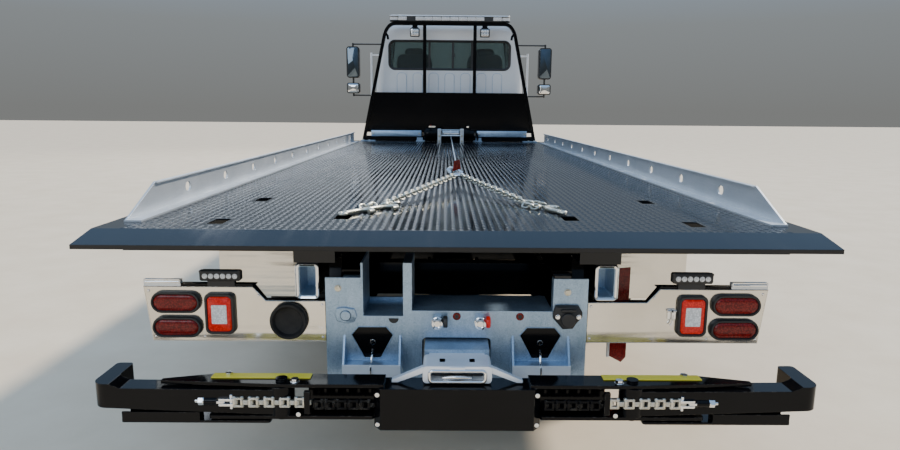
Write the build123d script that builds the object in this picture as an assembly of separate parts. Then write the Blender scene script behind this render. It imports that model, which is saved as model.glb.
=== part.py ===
from build123d import *
import math
import os

# Flatbed tow truck. Millimetres, +Y forward, +X to the right, +Z up, ground at zero.
# Stations (s) are measured forward from the bed's tail edge, where y = TAIL_Y.

os.makedirs("parts", exist_ok=True)

# Overall places
TAIL_Y = -4729
DECK_TOP = 1030
DECK_HALF = 1295
BED_FRONT = 6706
GAP = 6
SEAT = 0.3
RUN = 0.05

# Chassis rails
RAIL_OUT = 432
RAIL_FLANGE = 76
RAIL_WALL = 8
RAIL_BOTTOM = 606
RAIL_TOP = 860
RAIL_REAR = 244
RAIL_FRONT = 9350

# Axles and wheels
REAR_AXLE = 2434
FRONT_AXLE = 8428
WHEEL_R = 455
TYRE_W = 275
FRONT_WHEEL_X = 1020
REAR_WHEEL_X = 930
TWIN_PITCH = 307
RIM_R = 284
KINGPIN_X = 850
KINGPIN_R = 24
SPINDLE_R = 38
ARCH_R = 545
BRAKE_R = 76

# Bed structure
DECK_PLATE = 6
APPROACH = 140
STRIP = 100
CROSS_TALL = 75
CROSS_PITCH = 400
TUBE_IN = 513
TUBE_OUT = 589
TUBE_BOTTOM = 764
TUBE_TOP = 891
TUBE_WALL = 8
TUBE_REAR = 200
RISER_IN = 440

# Tilt frame and its pivot
PIVOT_S = 250
PIVOT_Z = 640
PIVOT_R = 20
TILT_IN = 438
TILT_OUT = 484
TILT_BOTTOM = 790
TILT_TOP = 895
TILT_FRONT = 4900
PAD = 12.7
SLIDE_Z = 900
BARREL_R = 38
BARREL_REAR = 1350
BARREL_FRONT = 4850
SLIDE_ROD_R = 22
SLIDE_EYE = 1270

# Lift cylinders: station and height of both eyes
LIFT_BASE = (3000, 580)
LIFT_EYE = (4350, 880)
LIFT_X = 265
LIFT_BARREL_R = 45
LIFT_ROD_R = 26
EYE_R = 34
LIFT_LUG = 60

# Rear plate
PLATE_S = 200
PLATE_T = 8
PLATE_HALF = 487
PLATE_BOTTOM = 400
POST_TOP = 840
POST_IN = 371
BOX_TOP = 715
BOX_DEEP = 206
TUNNEL_HALF = 129
TUNNEL_TOP = 611
POCKET_X = 315
TROUGH = (-356, -200)
TROUGH_FLOOR = 690
TROUGH_WALL_TOP = 897

# Lamp bars
BAR_OUT_TOP = 1155
BAR_OUT_BOTTOM = 1132
BAR_BOTTOM = 595
BAR_TOP = 802
BAR_NOTCH = 749
BAR_T = 3

# Wheel lift
BOOM_HINGE = (1350, 560)
BOOM_HALF = 117
BOOM_BOTTOM = 465
BOOM_TOP = 600
BOOM_REAR = 105
STINGER_HALF = 100
STINGER_BOTTOM = 478
STINGER_TOP = 587
SWIVEL_S = 5
SWIVEL_R = 28
CROSS_BACK = -60
CROSS_HALF = 286
CROSS_LOW = 372
CROSS_TOP = 521
YOKE_HALF = 119
YOKE_REAR = -20
CLAW_X = 605
CLAW_S = -12
CLAW_R = 20
CLAW_END = 1242

# Headboard
HEAD_S = 6600
HEAD_DEEP = 50
HEAD_TUBE = 42
HEAD_FOOT = 1163
HEAD_TOP = 2571
HEAD_SHOULDER = (865, HEAD_TOP - 111)
HEAD_BEND = 62

# Cab
CAB_BACK = 6826
CAB_BOTTOM = 930
CAB_HALF = 1000
CAB_BELT = 1010
CAB_ROOF = 2590
CAB_ROOF_HALF = 890
CAB_WALL = 45
CAB_ROUND = 110
COWL = (8090, 1720)
WIND_TOP = (7700, CAB_ROOF - 30)
DOOR_REAR = 7010
DOOR_FRONT = 7990
DOOR_BOTTOM = 1010
DOOR_TOP = CAB_ROOF - 150
DOOR_GAP = 8
BELT = 1740

# Grab rail at the cab's rear corner: across, station
GRAB = (1060, 6885)
GRAB_R = 14

# Hood and bumper
HOOD_REAR = 8100
HOOD_FRONT = 9490
HOOD_PIVOT = (9470, 765)
HOOD_WALL = 12
FENDER_OUT = 1190
BUMPER_FRONT = 9518
BUMPER_HALF = 1190
BUMPER_Z = (430, 740)

# Tool boxes
BOX_S = (3350, 4850)
BOX_X = (650, 1200)
BOX_Z = (420, 930)
SHEET = 4
BOX_DOOR_IN = 1205
BOX_DOOR_Z = (440, 910)
BOX_PIN_X = 1211
BOX_HINGES = (3500, 4070, 4640)

# Door hinges of the cab: place of the pin, and the height band of each barrel
DOOR_PIN = (1024, 7988)
DOOR_PIN_R = 7
DOOR_BARRELS = [(1150, 1210), (1560, 1620)]


def at(s):
    return TAIL_Y + s


def block(x, s, z):
    size = [abs(b - a) for a, b in (x, s, z)]
    mid = [(a + b) / 2 for a, b in (x, s, z)]
    return Pos(mid[0], at(mid[1]), mid[2]) * Box(*size)


def rod_x(r, x, s, z):
    return Pos((x[0] + x[1]) / 2, at(s), z) * Rot(0, 90, 0) * Cylinder(r, abs(x[1] - x[0]))


def rod_y(r, x, s, z):
    return Pos(x, at((s[0] + s[1]) / 2), z) * Rot(90, 0, 0) * Cylinder(r, abs(s[1] - s[0]))


def rod_z(r, x, s, z):
    return Pos(x, at(s), (z[0] + z[1]) / 2) * Cylinder(r, abs(z[1] - z[0]))


def outline(points, radius=0):
    if radius:
        return make_face(FilletPolyline(*points, radius=radius, close=True))
    return make_face(Polyline(*points, close=True))


# A face drawn in (station, height), (across, height) or (across, station), as a slab between two limits
def side_slab(face, x):
    plane = Plane(origin=(x[0], TAIL_Y, 0), x_dir=(0, 1, 0), z_dir=(1, 0, 0))
    return extrude(plane * face, x[1] - x[0])


def front_slab(face, s):
    plane = Plane(origin=(0, at(s[1]), 0), x_dir=(1, 0, 0), z_dir=(0, -1, 0))
    return extrude(plane * face, s[1] - s[0])


def plan_slab(face, z):
    return extrude(Plane(origin=(0, TAIL_Y, z[0])) * face, z[1] - z[0])


def rectangle(u, v, radius=0):
    return outline([(u[0], v[0]), (u[1], v[0]), (u[1], v[1]), (u[0], v[1])], radius)


def flip(shape):
    return mirror(shape, about=Plane.YZ)


def both(shape):
    return shape + flip(shape)


def save(name, shape):
    export_step(shape, "parts/" + name + ".step")


def save_pair(stem, shape):
    save(stem + "_right", shape)
    save(stem + "_left", flip(shape))


# Chassis
def channel_rail():
    inner = RAIL_OUT - RAIL_FLANGE
    rail = block((inner, RAIL_OUT), (RAIL_REAR, RAIL_FRONT), (RAIL_BOTTOM, RAIL_TOP))
    hollow = block((inner - 1, RAIL_OUT - RAIL_WALL), (RAIL_REAR - 1, RAIL_FRONT + 1),
                   (RAIL_BOTTOM + RAIL_WALL, RAIL_TOP - RAIL_WALL))
    return rail - hollow


def frame_rails():
    web_in = RAIL_OUT - RAIL_WALL
    # station, half length, bottom, top
    members = [(640, 30, 660, 800), (BOOM_HINGE[0] + 60, 40, 640, 780), (2050, 30, 660, 800),
               (2850, 40, 640, 780), (4700, 30, 660, 800), (5900, 30, 660, 800), (7150, 30, 725, 845),
               (9290, 40, 640, 800)]
    frame = both(channel_rail())
    for s, half, low, high in members:
        frame += block((-web_in, web_in), (s - half, s + half), (low, high))
    lug_s, lug_z = BOOM_HINGE
    lug_face = outline([(lug_s - 40, lug_z - 45), (lug_s + 45, lug_z - 45), (lug_s + 90, 650), (lug_s + 20, 650),
                        (lug_s - 40, lug_z + 30)])
    base_s, base_z = LIFT_BASE
    base_face = outline([(base_s - 190, 700), (base_s - 190, 650), (base_s - 40, base_z - 45),
                         (base_s + 40, base_z - 45), (base_s + 40, base_z + 30), (base_s - 110, 700)])
    lugs = side_slab(lug_face, (BOOM_HALF + 6, BOOM_HALF + 24)) - rod_x(PIVOT_R, (0, 400), lug_s, lug_z)
    for side in (-1, 1):
        x = LIFT_X + side * LIFT_LUG
        lugs += side_slab(base_face, (x - 8, x + 8)) - rod_x(PIVOT_R, (0, 400), base_s, base_z)
    frame += both(lugs)
    frame += rod_x(PIVOT_R, (-BOOM_HALF - 24, BOOM_HALF + 24), lug_s, lug_z)
    frame += both(rod_x(PIVOT_R, (LIFT_X - LIFT_LUG - 8, LIFT_X + LIFT_LUG + 8), base_s, base_z))
    # stub shafts for the tilt frame, and the outer plate that holds each one
    frame += both(rod_x(PIVOT_R, (web_in, PLATE_HALF + 12), PIVOT_S, PIVOT_Z))
    frame += both(block((PLATE_HALF, PLATE_HALF + 12), (PLATE_S + PLATE_T, PIVOT_S + 60), (PIVOT_Z - 50, PIVOT_Z + 50)))
    # hood pivots at the front horns
    pivot_s, pivot_z = HOOD_PIVOT
    horn = outline([(RAIL_FRONT - 60, RAIL_TOP), (RAIL_FRONT - 60, 700), (pivot_s - 70, 700), (pivot_s - 20, pivot_z - 20),
                    (pivot_s + 20, pivot_z - 18), (pivot_s + 20, pivot_z + 18), (pivot_s - 20, pivot_z + 18),
                    (pivot_s - 80, 800), (RAIL_FRONT, RAIL_TOP)])
    frame += both(side_slab(horn, (RAIL_OUT - RAIL_WALL, RAIL_OUT)))
    frame += both(rod_x(10, (RAIL_OUT - 1, RAIL_OUT + 40), pivot_s, pivot_z))
    return frame


def front_axle():
    low, high = 350, 430
    pin_z = WHEEL_R
    beam = front_slab(outline([(-KINGPIN_X, pin_z - 40), (-720, pin_z - 40), (-600, low), (600, low), (720, pin_z - 40),
                               (KINGPIN_X, pin_z - 40), (KINGPIN_X, pin_z + 40), (700, pin_z + 40), (580, high),
                               (-580, high), (-700, pin_z + 40), (-KINGPIN_X, pin_z + 40)]),
                      (FRONT_AXLE - 45, FRONT_AXLE + 45))
    for side in (-1, 1):
        beam += rod_z(46, side * KINGPIN_X, FRONT_AXLE, (pin_z - 40, pin_z + 40))
    return beam - both(rod_z(KINGPIN_R + RUN, KINGPIN_X, FRONT_AXLE, (0, 900)))


def knuckle():
    pin_z = WHEEL_R
    pin = rod_z(KINGPIN_R, KINGPIN_X, FRONT_AXLE, (pin_z - 95, pin_z + 95))
    yokes = rod_z(44, KINGPIN_X, FRONT_AXLE, (pin_z + 40 + SEAT, pin_z + 92))
    yokes += rod_z(44, KINGPIN_X, FRONT_AXLE, (pin_z - 92, pin_z - 40 - SEAT))
    cheek = block((KINGPIN_X + 46, KINGPIN_X + 70), (FRONT_AXLE - 60, FRONT_AXLE + 60), (pin_z - 92, pin_z + 92))
    web = block((KINGPIN_X, KINGPIN_X + 60), (FRONT_AXLE - 40, FRONT_AXLE + 40), (pin_z + 45, pin_z + 92))
    web += block((KINGPIN_X, KINGPIN_X + 60), (FRONT_AXLE - 40, FRONT_AXLE + 40), (pin_z - 92, pin_z - 45))
    spindle = rod_x(SPINDLE_R, (KINGPIN_X + 60, FRONT_WHEEL_X + 120), FRONT_AXLE, pin_z)
    arm = block((KINGPIN_X - 22, KINGPIN_X + 22), (FRONT_AXLE - 210, FRONT_AXLE - 20), (pin_z - 90, pin_z - 62))
    return pin + yokes + cheek + web + spindle + arm


TIE_S = FRONT_AXLE - 180


def tie_rod():
    z = WHEEL_R - 76
    half = KINGPIN_X
    rod = rod_x(17, (-half + 30, half - 30), TIE_S, z - 40)
    rod += both(rod_z(26, half, TIE_S, (z - 62, z - 14 - SEAT)))
    return rod + both(rod_x(17, (half - 40, half), TIE_S, z - 40))


def rear_axle():
    z = WHEEL_R
    housing = rod_x(72, (-620, 620), REAR_AXLE, z) + Pos(0, at(REAR_AXLE), z) * Sphere(190)
    housing += rod_x(45, (-REAR_WHEEL_X - 130, REAR_WHEEL_X + 130), REAR_AXLE, z)
    housing += rod_y(75, 0, (REAR_AXLE, REAR_AXLE + 330), z + 10)
    shaft_start = Vector(0, at(REAR_AXLE + 320), z + 10)
    shaft_end = Vector(0, at(7281), 660)
    line = shaft_end - shaft_start
    shaft = Plane(origin=shaft_start, z_dir=line) * Cylinder(48, line.length, align=(Align.CENTER, Align.CENTER, Align.MIN))
    pads = both(block((445, 545), (REAR_AXLE - 70, REAR_AXLE + 70), (z + 60, z + 85)))
    # brake chamber on a bracket at each side
    brake = rod_y(BRAKE_R, 330, (REAR_AXLE + 110, REAR_AXLE + 200), z + 55)
    brake += rod_y(BRAKE_R - 10, 330, (REAR_AXLE + 95, REAR_AXLE + 265), z + 55)
    brake += block((300, 360), (REAR_AXLE + 40, REAR_AXLE + 96), (z + 38, z + 68))
    return housing + shaft + pads + both(brake)


def spring_pack(x, s, half_length, seat_z, rise, eye_z):
    leaf = outline([(s - half_length, seat_z + rise), (s - 90, seat_z), (s + 90, seat_z), (s + half_length, seat_z + rise),
                    (s + half_length, seat_z + rise + 24), (s + 90, seat_z + 60), (s - 90, seat_z + 60),
                    (s - half_length, seat_z + rise + 24)])
    pack = side_slab(leaf, x)
    for end in (-1, 1):
        eye_s = s + end * half_length
        pack += rod_x(26, x, eye_s, seat_z + rise + 12)
        pack += side_slab(outline([(eye_s - 18, seat_z + rise + 12), (eye_s + 18, seat_z + rise + 12),
                                   (eye_s + 40, eye_z), (eye_s - 40, eye_z)]), (x[0] + 10, x[1] - 10))
    return pack


def leaf_springs():
    front = spring_pack((RAIL_OUT - RAIL_FLANGE, RAIL_OUT), FRONT_AXLE, 600, 430, 90, RAIL_BOTTOM)
    hanger = block((RAIL_OUT, 520), (-60, 60), (RAIL_BOTTOM + 20, RAIL_BOTTOM + 110))
    rear = spring_pack((455, 535), REAR_AXLE, 640, WHEEL_R + 85, 60, RAIL_BOTTOM + 30)
    for end in (-1, 1):
        rear += Pos(0, REAR_AXLE + end * 640, 0) * hanger
    return both(front) + both(rear)


def tyre(x):
    half = TYRE_W / 2
    # radius, across from the tyre's middle
    section = [(RIM_R, -half + 32), (RIM_R + 50, -half + 6), (RIM_R + 95, -half), (WHEEL_R - 40, -half + 8),
               (WHEEL_R - 14, -half + 18), (WHEEL_R, -half + 34)]
    points = section + [(r, -u) for r, u in reversed(section)]
    face = Plane(origin=(x, 0, 0), x_dir=(0, 0, 1), z_dir=(0, 1, 0)) * make_face(Polyline(*points, close=True))
    return face


def turned(face, s):
    return Pos(0, at(s), WHEEL_R) * revolve(face, Axis.X)


def ring_face(points, x):
    return Plane(origin=(x, 0, 0), x_dir=(0, 0, 1), z_dir=(0, 1, 0)) * make_face(Polyline(*points, close=True))


HUB_IN = KINGPIN_X + 76 - FRONT_WHEEL_X


def front_rim():
    half = TYRE_W / 2
    # radius, across from the wheel's middle, minus inward
    points = [(RIM_R - SEAT, -half + 32), (RIM_R - SEAT, half - 32), (RIM_R - 26, half - 32), (RIM_R - 26, half - 60),
              (190, half - 40), (150, half - 12), (SPINDLE_R + RUN, half - 12), (SPINDLE_R + RUN, HUB_IN),
              (190, HUB_IN), (190, half - 90), (RIM_R - 26, half - 100), (RIM_R - 26, 32 - half)]
    wheel = turned(ring_face(points, FRONT_WHEEL_X), FRONT_AXLE)
    for turn in range(10):
        hand_hole = Pos(0, at(FRONT_AXLE), WHEEL_R) * Rot(turn * 36, 0, 0) * Pos(FRONT_WHEEL_X, 0, 222)
        wheel -= hand_hole * Rot(0, 90, 0) * Cylinder(16, 400)
    return wheel


def rear_rim():
    half = TYRE_W / 2
    mid = TWIN_PITCH / 2
    outer = mid + half - 32
    points = [(RIM_R - SEAT, -outer), (RIM_R - SEAT, outer), (RIM_R - 26, outer), (RIM_R - 26, 30), (150, 20),
              (150, outer - 10), (45 + RUN, outer - 10), (45 + RUN, -outer + 20), (190, -outer + 20), (190, -30),
              (RIM_R - 26, -30), (RIM_R - 26, -outer)]
    wheel = turned(ring_face(points, REAR_WHEEL_X), REAR_AXLE)
    for turn in range(10):
        hand_hole = Pos(0, at(REAR_AXLE), WHEEL_R) * Rot(turn * 36, 0, 0) * Pos(REAR_WHEEL_X, 0, 222)
        wheel -= hand_hole * Rot(0, 90, 0) * Cylinder(16, 80)
    return wheel


def engine_block():
    engine = block((-300, 300), (8130, 9150), (500, 1280))
    gearbox = block((-200, 200), (7300, 8140), (540, 890))
    mounts = Part()
    for s in (8330, 8900):
        mounts += block((-400, 400), (s, s + 80), (RAIL_BOTTOM + RAIL_WALL, RAIL_BOTTOM + 54))
    return engine + gearbox + mounts + rod_y(60, 0, (7284, 7310), 660)


def fuel_tanks():
    tank = rod_y(265, 790, (6950, 7820), 640)
    strap = rod_y(268, 790, (7080, 7130), 640) + rod_y(268, 790, (7640, 7690), 640)
    bracket = block((RAIL_OUT, 560), (7080, 7130), (620, 780)) + block((RAIL_OUT, 560), (7640, 7690), (620, 780))
    steps = Part()
    for z in (480, 760):
        steps += block((1000, 1180), (7060, 7710), (z, z + 25))
    posts = block((1040, 1070), (7080, 7130), (480, 785)) + block((1040, 1070), (7640, 7690), (480, 785))
    return both(tank + strap + bracket + steps + posts)


def exhaust():
    muffler = rod_y(135, 720, (5050, 6300), 620)
    pipe = rod_y(50, 720, (6290, 6700), 620) + rod_y(50, 720, (4920, 5060), 620)
    hanger = block((RAIL_OUT, 700), (5200, 5240), (680, 720)) + block((RAIL_OUT, 700), (6100, 6140), (680, 720))
    return muffler + pipe + hanger


def tool_boxes():
    body = block(BOX_X, BOX_S, BOX_Z)
    body -= block((BOX_X[0] + SHEET, BOX_X[1] + 1), (BOX_S[0] + SHEET, BOX_S[1] - SHEET),
                  (BOX_Z[0] + SHEET, BOX_Z[1] - SHEET))
    frame = block((BOX_X[1] - 30, BOX_X[1]), BOX_S, BOX_Z)
    frame -= block((BOX_X[1] - 31, BOX_X[1] + 1), (BOX_S[0] + 50, BOX_S[1] - 50), (BOX_Z[0] + 50, BOX_Z[1] - 50))
    hangers = Part()
    for s in (BOX_S[0] + 200, BOX_S[1] - 260):
        hangers += block((RAIL_OUT, BOX_X[0]), (s, s + 60), (640, 720))
    knuckles = Part()
    for s in BOX_HINGES:
        knuckles += rod_y(12, BOX_PIN_X, (s, s + 60), BOX_DOOR_Z[0])
        knuckles += block((BOX_X[1] - 4, BOX_PIN_X - 4), (s, s + 60), (BOX_DOOR_Z[0] - 12, BOX_DOOR_Z[0] + 4))
    knuckles -= rod_y(7 + RUN, BOX_PIN_X, BOX_S, BOX_DOOR_Z[0])
    return both(body + frame + hangers + knuckles)


def tool_box_door():
    door = block((BOX_DOOR_IN, BOX_DOOR_IN + 25), (BOX_S[0] + 20, BOX_S[1] - 20), BOX_DOOR_Z)
    for s in BOX_HINGES:
        door -= block((BOX_DOOR_IN - 1, BOX_DOOR_IN + 26), (s - 3, s + 63), (BOX_DOOR_Z[0] - 10, BOX_DOOR_Z[0] + 20))
    door -= block((BOX_DOOR_IN + 20, BOX_DOOR_IN + 26), (BOX_S[0] + 90, BOX_S[1] - 90), (BOX_DOOR_Z[0] + 70, BOX_DOOR_Z[1] - 30))
    pin = rod_y(7, BOX_PIN_X, (BOX_S[0] + 20, BOX_S[1] - 20), BOX_DOOR_Z[0])
    latches = Part()
    for s in (BOX_S[0] + 400, BOX_S[1] - 400):
        latches += block((BOX_DOOR_IN + 19, BOX_DOOR_IN + 34), (s - 55, s + 55), (BOX_DOOR_Z[1] - 110, BOX_DOOR_Z[1] - 50))
    return door + pin + latches


def bumper():
    sweep_back = 190
    plan = outline([(-BUMPER_HALF, BUMPER_FRONT - sweep_back), (-820, BUMPER_FRONT), (820, BUMPER_FRONT),
                    (BUMPER_HALF, BUMPER_FRONT - sweep_back), (BUMPER_HALF, BUMPER_FRONT - sweep_back - 90),
                    (BUMPER_HALF - 12, BUMPER_FRONT - sweep_back - 90), (BUMPER_HALF - 12, BUMPER_FRONT - sweep_back - 6),
                    (816, BUMPER_FRONT - 12), (-816, BUMPER_FRONT - 12),
                    (12 - BUMPER_HALF, BUMPER_FRONT - sweep_back - 6), (12 - BUMPER_HALF, BUMPER_FRONT - sweep_back - 90),
                    (-BUMPER_HALF, BUMPER_FRONT - sweep_back - 90)])
    shell = plan_slab(plan, BUMPER_Z)
    for side in (-1, 1):
        shell += block((side * 400 - 30, side * 400 + 30), (RAIL_FRONT, BUMPER_FRONT - 12), (620, 690))
    eye_face = outline([(9380, 430), (9500, 430), (9500, 400), (9480, 372), (9420, 372), (9380, 420)])
    eye = side_slab(eye_face, (380, 405)) - rod_x(17.5, (300, 500), 9450, 402)
    stem = block((380, 405), (9380, 9500), (429, 640))
    return shell + both(eye + stem)


# Cab, as a form whose faces all move in by one inset
def cab_form(inset):
    t = inset
    side = outline([(CAB_BACK + t, CAB_BOTTOM + t), (CAB_BACK + t, CAB_ROOF - t), (WIND_TOP[0] - 14 - t, CAB_ROOF - t),
                    (COWL[0] - t, COWL[1] - t / 2), (COWL[0] - t, CAB_BOTTOM + t)], [0, CAB_ROUND - t, CAB_ROUND + 20 - t, 0, 0])
    width = CAB_HALF - t
    # half of the cross-section, from the sill up to the crown, with the radius of each corner
    flank = [(width, CAB_BOTTOM - 1, 0), (CAB_BELT - t, 1500, 400), (CAB_BELT - 15 - t, BELT, 300),
             (CAB_ROOF_HALF - 10 - t, CAB_ROOF - 50 - t, CAB_ROUND + 30 - t), (450, CAB_ROOF - t, 600)]
    ring = [(-x, z, r) for x, z, r in flank] + flank[::-1]
    front = outline([(x, z) for x, z, r in ring], [r for x, z, r in ring])
    plan = outline([(-CAB_BELT - 1 + t, CAB_BACK + t), (CAB_BELT + 1 - t, CAB_BACK + t), (CAB_BELT + 1 - t, COWL[0] + 60),
                    (-CAB_BELT - 1 + t, COWL[0] + 60)], [CAB_ROUND + 30 - t, CAB_ROUND + 30 - t, 0, 0])
    form = side_slab(side, (-CAB_BELT - 50, CAB_BELT + 50)) & front_slab(front, (CAB_BACK - 50, COWL[0] + 50))
    return form & plan_slab(plan, (CAB_BOTTOM - 50, CAB_ROOF + 50))


def door_prism(gap):
    face = outline([(DOOR_REAR + gap, DOOR_BOTTOM + gap), (DOOR_FRONT - gap, DOOR_BOTTOM + gap), (DOOR_FRONT - gap, BELT),
                    (DOOR_FRONT - 310 - gap, DOOR_TOP - gap), (DOOR_REAR + gap, DOOR_TOP - gap)], 40)
    return side_slab(face, (300, 1200))


def door_window():
    face = outline([(DOOR_REAR + 90, BELT + 20), (DOOR_FRONT - 110, BELT + 20), (DOOR_FRONT - 345, DOOR_TOP - 75),
                    (DOOR_REAR + 90, DOOR_TOP - 75)], 50)
    return side_slab(face, (300, 1200))


def rear_window():
    return front_slab(rectangle((-807, 807), (CAB_ROOF - 600, CAB_ROOF - 242), 70), (CAB_BACK - 60, CAB_BACK + 120))


def windshield_hole():
    face = outline([(-900, COWL[1] + 90), (900, COWL[1] + 90), (810, WIND_TOP[1] - 90), (-810, WIND_TOP[1] - 90)], 60)
    return front_slab(face, (WIND_TOP[0] - 60, COWL[0] + 60))


def cab_shell():
    shell = cab_form(0) - cab_form(CAB_WALL)
    shell -= both(door_prism(0)) + rear_window() + windshield_hole()
    mounts = both(block((RAIL_OUT - 60, RAIL_OUT), (6900, 6980), (RAIL_TOP, CAB_BOTTOM + 1)))
    mounts += both(block((RAIL_OUT - 60, RAIL_OUT), (7900, 7980), (RAIL_TOP, CAB_BOTTOM + 1)))
    ribs = Part()
    # upright pressings on the back wall, rounded at their tops
    for step in range(-3, 4):
        x = step * 215
        pressing = outline([(x - 63, 1010), (x + 63, 1010), (x + 63, CAB_ROOF - 655), (x - 63, CAB_ROOF - 655)], [10, 10, 45, 45])
        ribs += front_slab(pressing, (CAB_BACK - 12, CAB_BACK + 1))
    # grab rail at each rear corner
    rail = rod_z(GRAB_R, GRAB[0], GRAB[1], (1400, CAB_ROOF - 390))
    for z in (1430, CAB_ROOF - 420):
        rail += block((930, GRAB[0]), (GRAB[1] - 10, GRAB[1] + 10), (z - 10, z + 10))
    ribs += both(rail)
    pin_x, pin_s = DOOR_PIN
    hinges = Part()
    for low, high in DOOR_BARRELS:
        hinges += rod_z(DOOR_PIN_R, pin_x, pin_s, (low - 14, high + 14))
        for z in (low - 15, high + 1):
            hinges += block((pin_x - 11, pin_x + 12), (pin_s - 12, pin_s + 24), (z, z + 14))
            hinges += block((pin_x - 35, pin_x), (pin_s + 4, pin_s + 24), (z, z + 14))
    return shell + mounts + ribs + both(hinges)


def cab_glass():
    pane = cab_form(20) - cab_form(26)
    return (pane & rear_window()) + (pane & windshield_hole())


def cab_interior():
    floor = CAB_BOTTOM + CAB_WALL
    seats = Part()
    for x in (-480, 480):
        seats += block((x - 240, x + 240), (7050, 7520), (floor + 250, floor + 400))
        seats += block((x - 150, x + 150), (7100, 7450), (floor + SEAT, floor + 250))
        back = side_slab(outline([(6990, floor + 380), (7130, floor + 400), (7060, floor + 1120), (6920, floor + 1120)], 40),
                         (x - 240, x + 240))
        seats += back
    wall = COWL[0] - CAB_WALL
    dash_face = outline([(7720, 1500), (7660, 1620), (7700, 1690), (7960, 1695), (wall, 1650), (wall, 1350),
                         (7800, 1350)])
    dash = side_slab(dash_face, (-930, 930))
    from_dash = (Align.CENTER, Align.CENTER, Align.MIN)
    column = Plane(origin=(-480, at(7760), 1560), z_dir=(0, -1, 0.55)) * Cylinder(28, 330, align=from_dash)
    hoop = Plane(origin=(-480, at(7480), 1714), z_dir=(0, -1, 0.55)) * Torus(215, 15)
    spokes = Plane(origin=(-480, at(7480), 1714), z_dir=(0, -1, 0.55)) * (Box(420, 34, 14) + Cylinder(55, 40))
    return seats + dash + column + hoop + spokes


def door():
    skin = (cab_form(0) - cab_form(CAB_WALL)) & door_prism(DOOR_GAP)
    sweep = rod_z(DOOR_FRONT - DOOR_REAR - 6, CAB_BELT + 14, DOOR_FRONT - 2, (900, 2600))
    handle = block((CAB_BELT - 6, CAB_BELT + 22), (DOOR_REAR + 70, DOOR_REAR + 230), (1560, 1600))
    leaf = (skin & sweep) - door_window() + handle
    pin_x, pin_s = DOOR_PIN
    for low, high in DOOR_BARRELS:
        leaf += rod_z(11, pin_x, pin_s, (low, high)) + block((pin_x - 20, pin_x), (pin_s - 45, pin_s - 5), (low, high))
    return leaf - rod_z(DOOR_PIN_R + RUN, pin_x, pin_s, (1000, 1800))


def door_glass():
    return (cab_form(18) - cab_form(23)) & door_window()


def mirrors():
    # height band of each head and its corner radius
    heads = Part()
    for low, high, radius in [(1925, 2400, 45), (1690, 1850, 30)]:
        heads += front_slab(rectangle((1390, 1590), (low, high), radius), (8165, 8270))
        heads += front_slab(rectangle((1402, 1578), (low + 12, high - 12), radius - 12), (8150, 8166))
    arms = Part()
    for z in (2425, 1650):
        arms += rod_x(11, (900 if z > 2000 else 985, 1491), 8202, z + 11)
    post = rod_z(14, 1491, 8202, (1645, 2452))
    root = rod_y(14, 905, (7740, 8217), 2436) + rod_y(14, 997, (8060, 8217), 1661)
    return both(heads + arms + post + root) - cab_form(0)


# Sections of the bonnet and of the wings: station, half width, top, corner radius
BONNET = [(HOOD_REAR - 1, 950, COWL[1] - 40, 260), (8600, 878, COWL[1] - 110, 240), (9100, 760, COWL[1] - 260, 210),
          (9380, 680, COWL[1] - 385, 170), (HOOD_FRONT - 10, 640, COWL[1] - 510, 110)]
WINGS = [(HOOD_REAR - 1, FENDER_OUT, 1180, 110), (8450, FENDER_OUT, 1186, 115), (8800, FENDER_OUT - 2, 1180, 118),
         (9140, FENDER_OUT - 34, 1140, 120), (9370, 1040, 1065, 110), (HOOD_FRONT, 760, 960, 90)]


# Hood, as a form whose faces all move in by one inset
def hood_section(s, half, top, radius, inset):
    t = inset
    face = outline([(-half + t, 600), (half - t, 600), (half - t, top - t), (-half + t, top - t)], [0, 0, radius - t, radius - t])
    return Plane(origin=(0, at(s), 0), x_dir=(1, 0, 0), z_dir=(0, -1, 0)) * face


def hood_form(inset):
    bonnet = loft([hood_section(min(s, HOOD_FRONT - 10 - inset), half, top, radius, inset)
                   for s, half, top, radius in BONNET], ruled=True)
    wings = loft([hood_section(min(s, HOOD_FRONT - inset), half, top, radius, inset)
                  for s, half, top, radius in WINGS], ruled=True)
    return bonnet + wings


GRILLE_HALF = 430
GRILLE_Z = (850, 1230)
LAMP_X = (680, 930)
LAMP_Z = (880, 1000)


def hood():
    shell = hood_form(0) - hood_form(HOOD_WALL)
    shell -= block((-1300, 1300), (HOOD_REAR - 60, HOOD_FRONT + 100), (500, HOOD_PIVOT[1] + 32))
    shell -= both(rod_x(ARCH_R, (700, 1300), FRONT_AXLE, WHEEL_R))
    shell -= block((-GRILLE_HALF, GRILLE_HALF), (9300, 9600), GRILLE_Z)
    shell -= both(block(LAMP_X, (9300, 9600), LAMP_Z))
    arm = outline([(HOOD_PIVOT[0] - 18, HOOD_PIVOT[1] - 18), (HOOD_PIVOT[0] + 14, HOOD_PIVOT[1] - 18),
                   (HOOD_PIVOT[0] + 10, 830), (HOOD_PIVOT[0] - 18, 830)])
    ear = side_slab(arm, (RAIL_OUT + 6, RAIL_OUT + 22)) - rod_x(10 + RUN, (0, 600), *HOOD_PIVOT)
    return shell + both(ear)


def grille():
    frame = block((-GRILLE_HALF, GRILLE_HALF), (9420, 9462), GRILLE_Z)
    frame -= block((-GRILLE_HALF + 30, GRILLE_HALF - 30), (9400, 9500), (GRILLE_Z[0] + 30, GRILLE_Z[1] - 30))
    for step in range(1, 6):
        z = GRILLE_Z[0] + 30 + step * (GRILLE_Z[1] - GRILLE_Z[0] - 60) / 6
        frame += block((-GRILLE_HALF + 29, GRILLE_HALF - 29), (9425, 9455), (z - 9, z + 9))
    return frame


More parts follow.
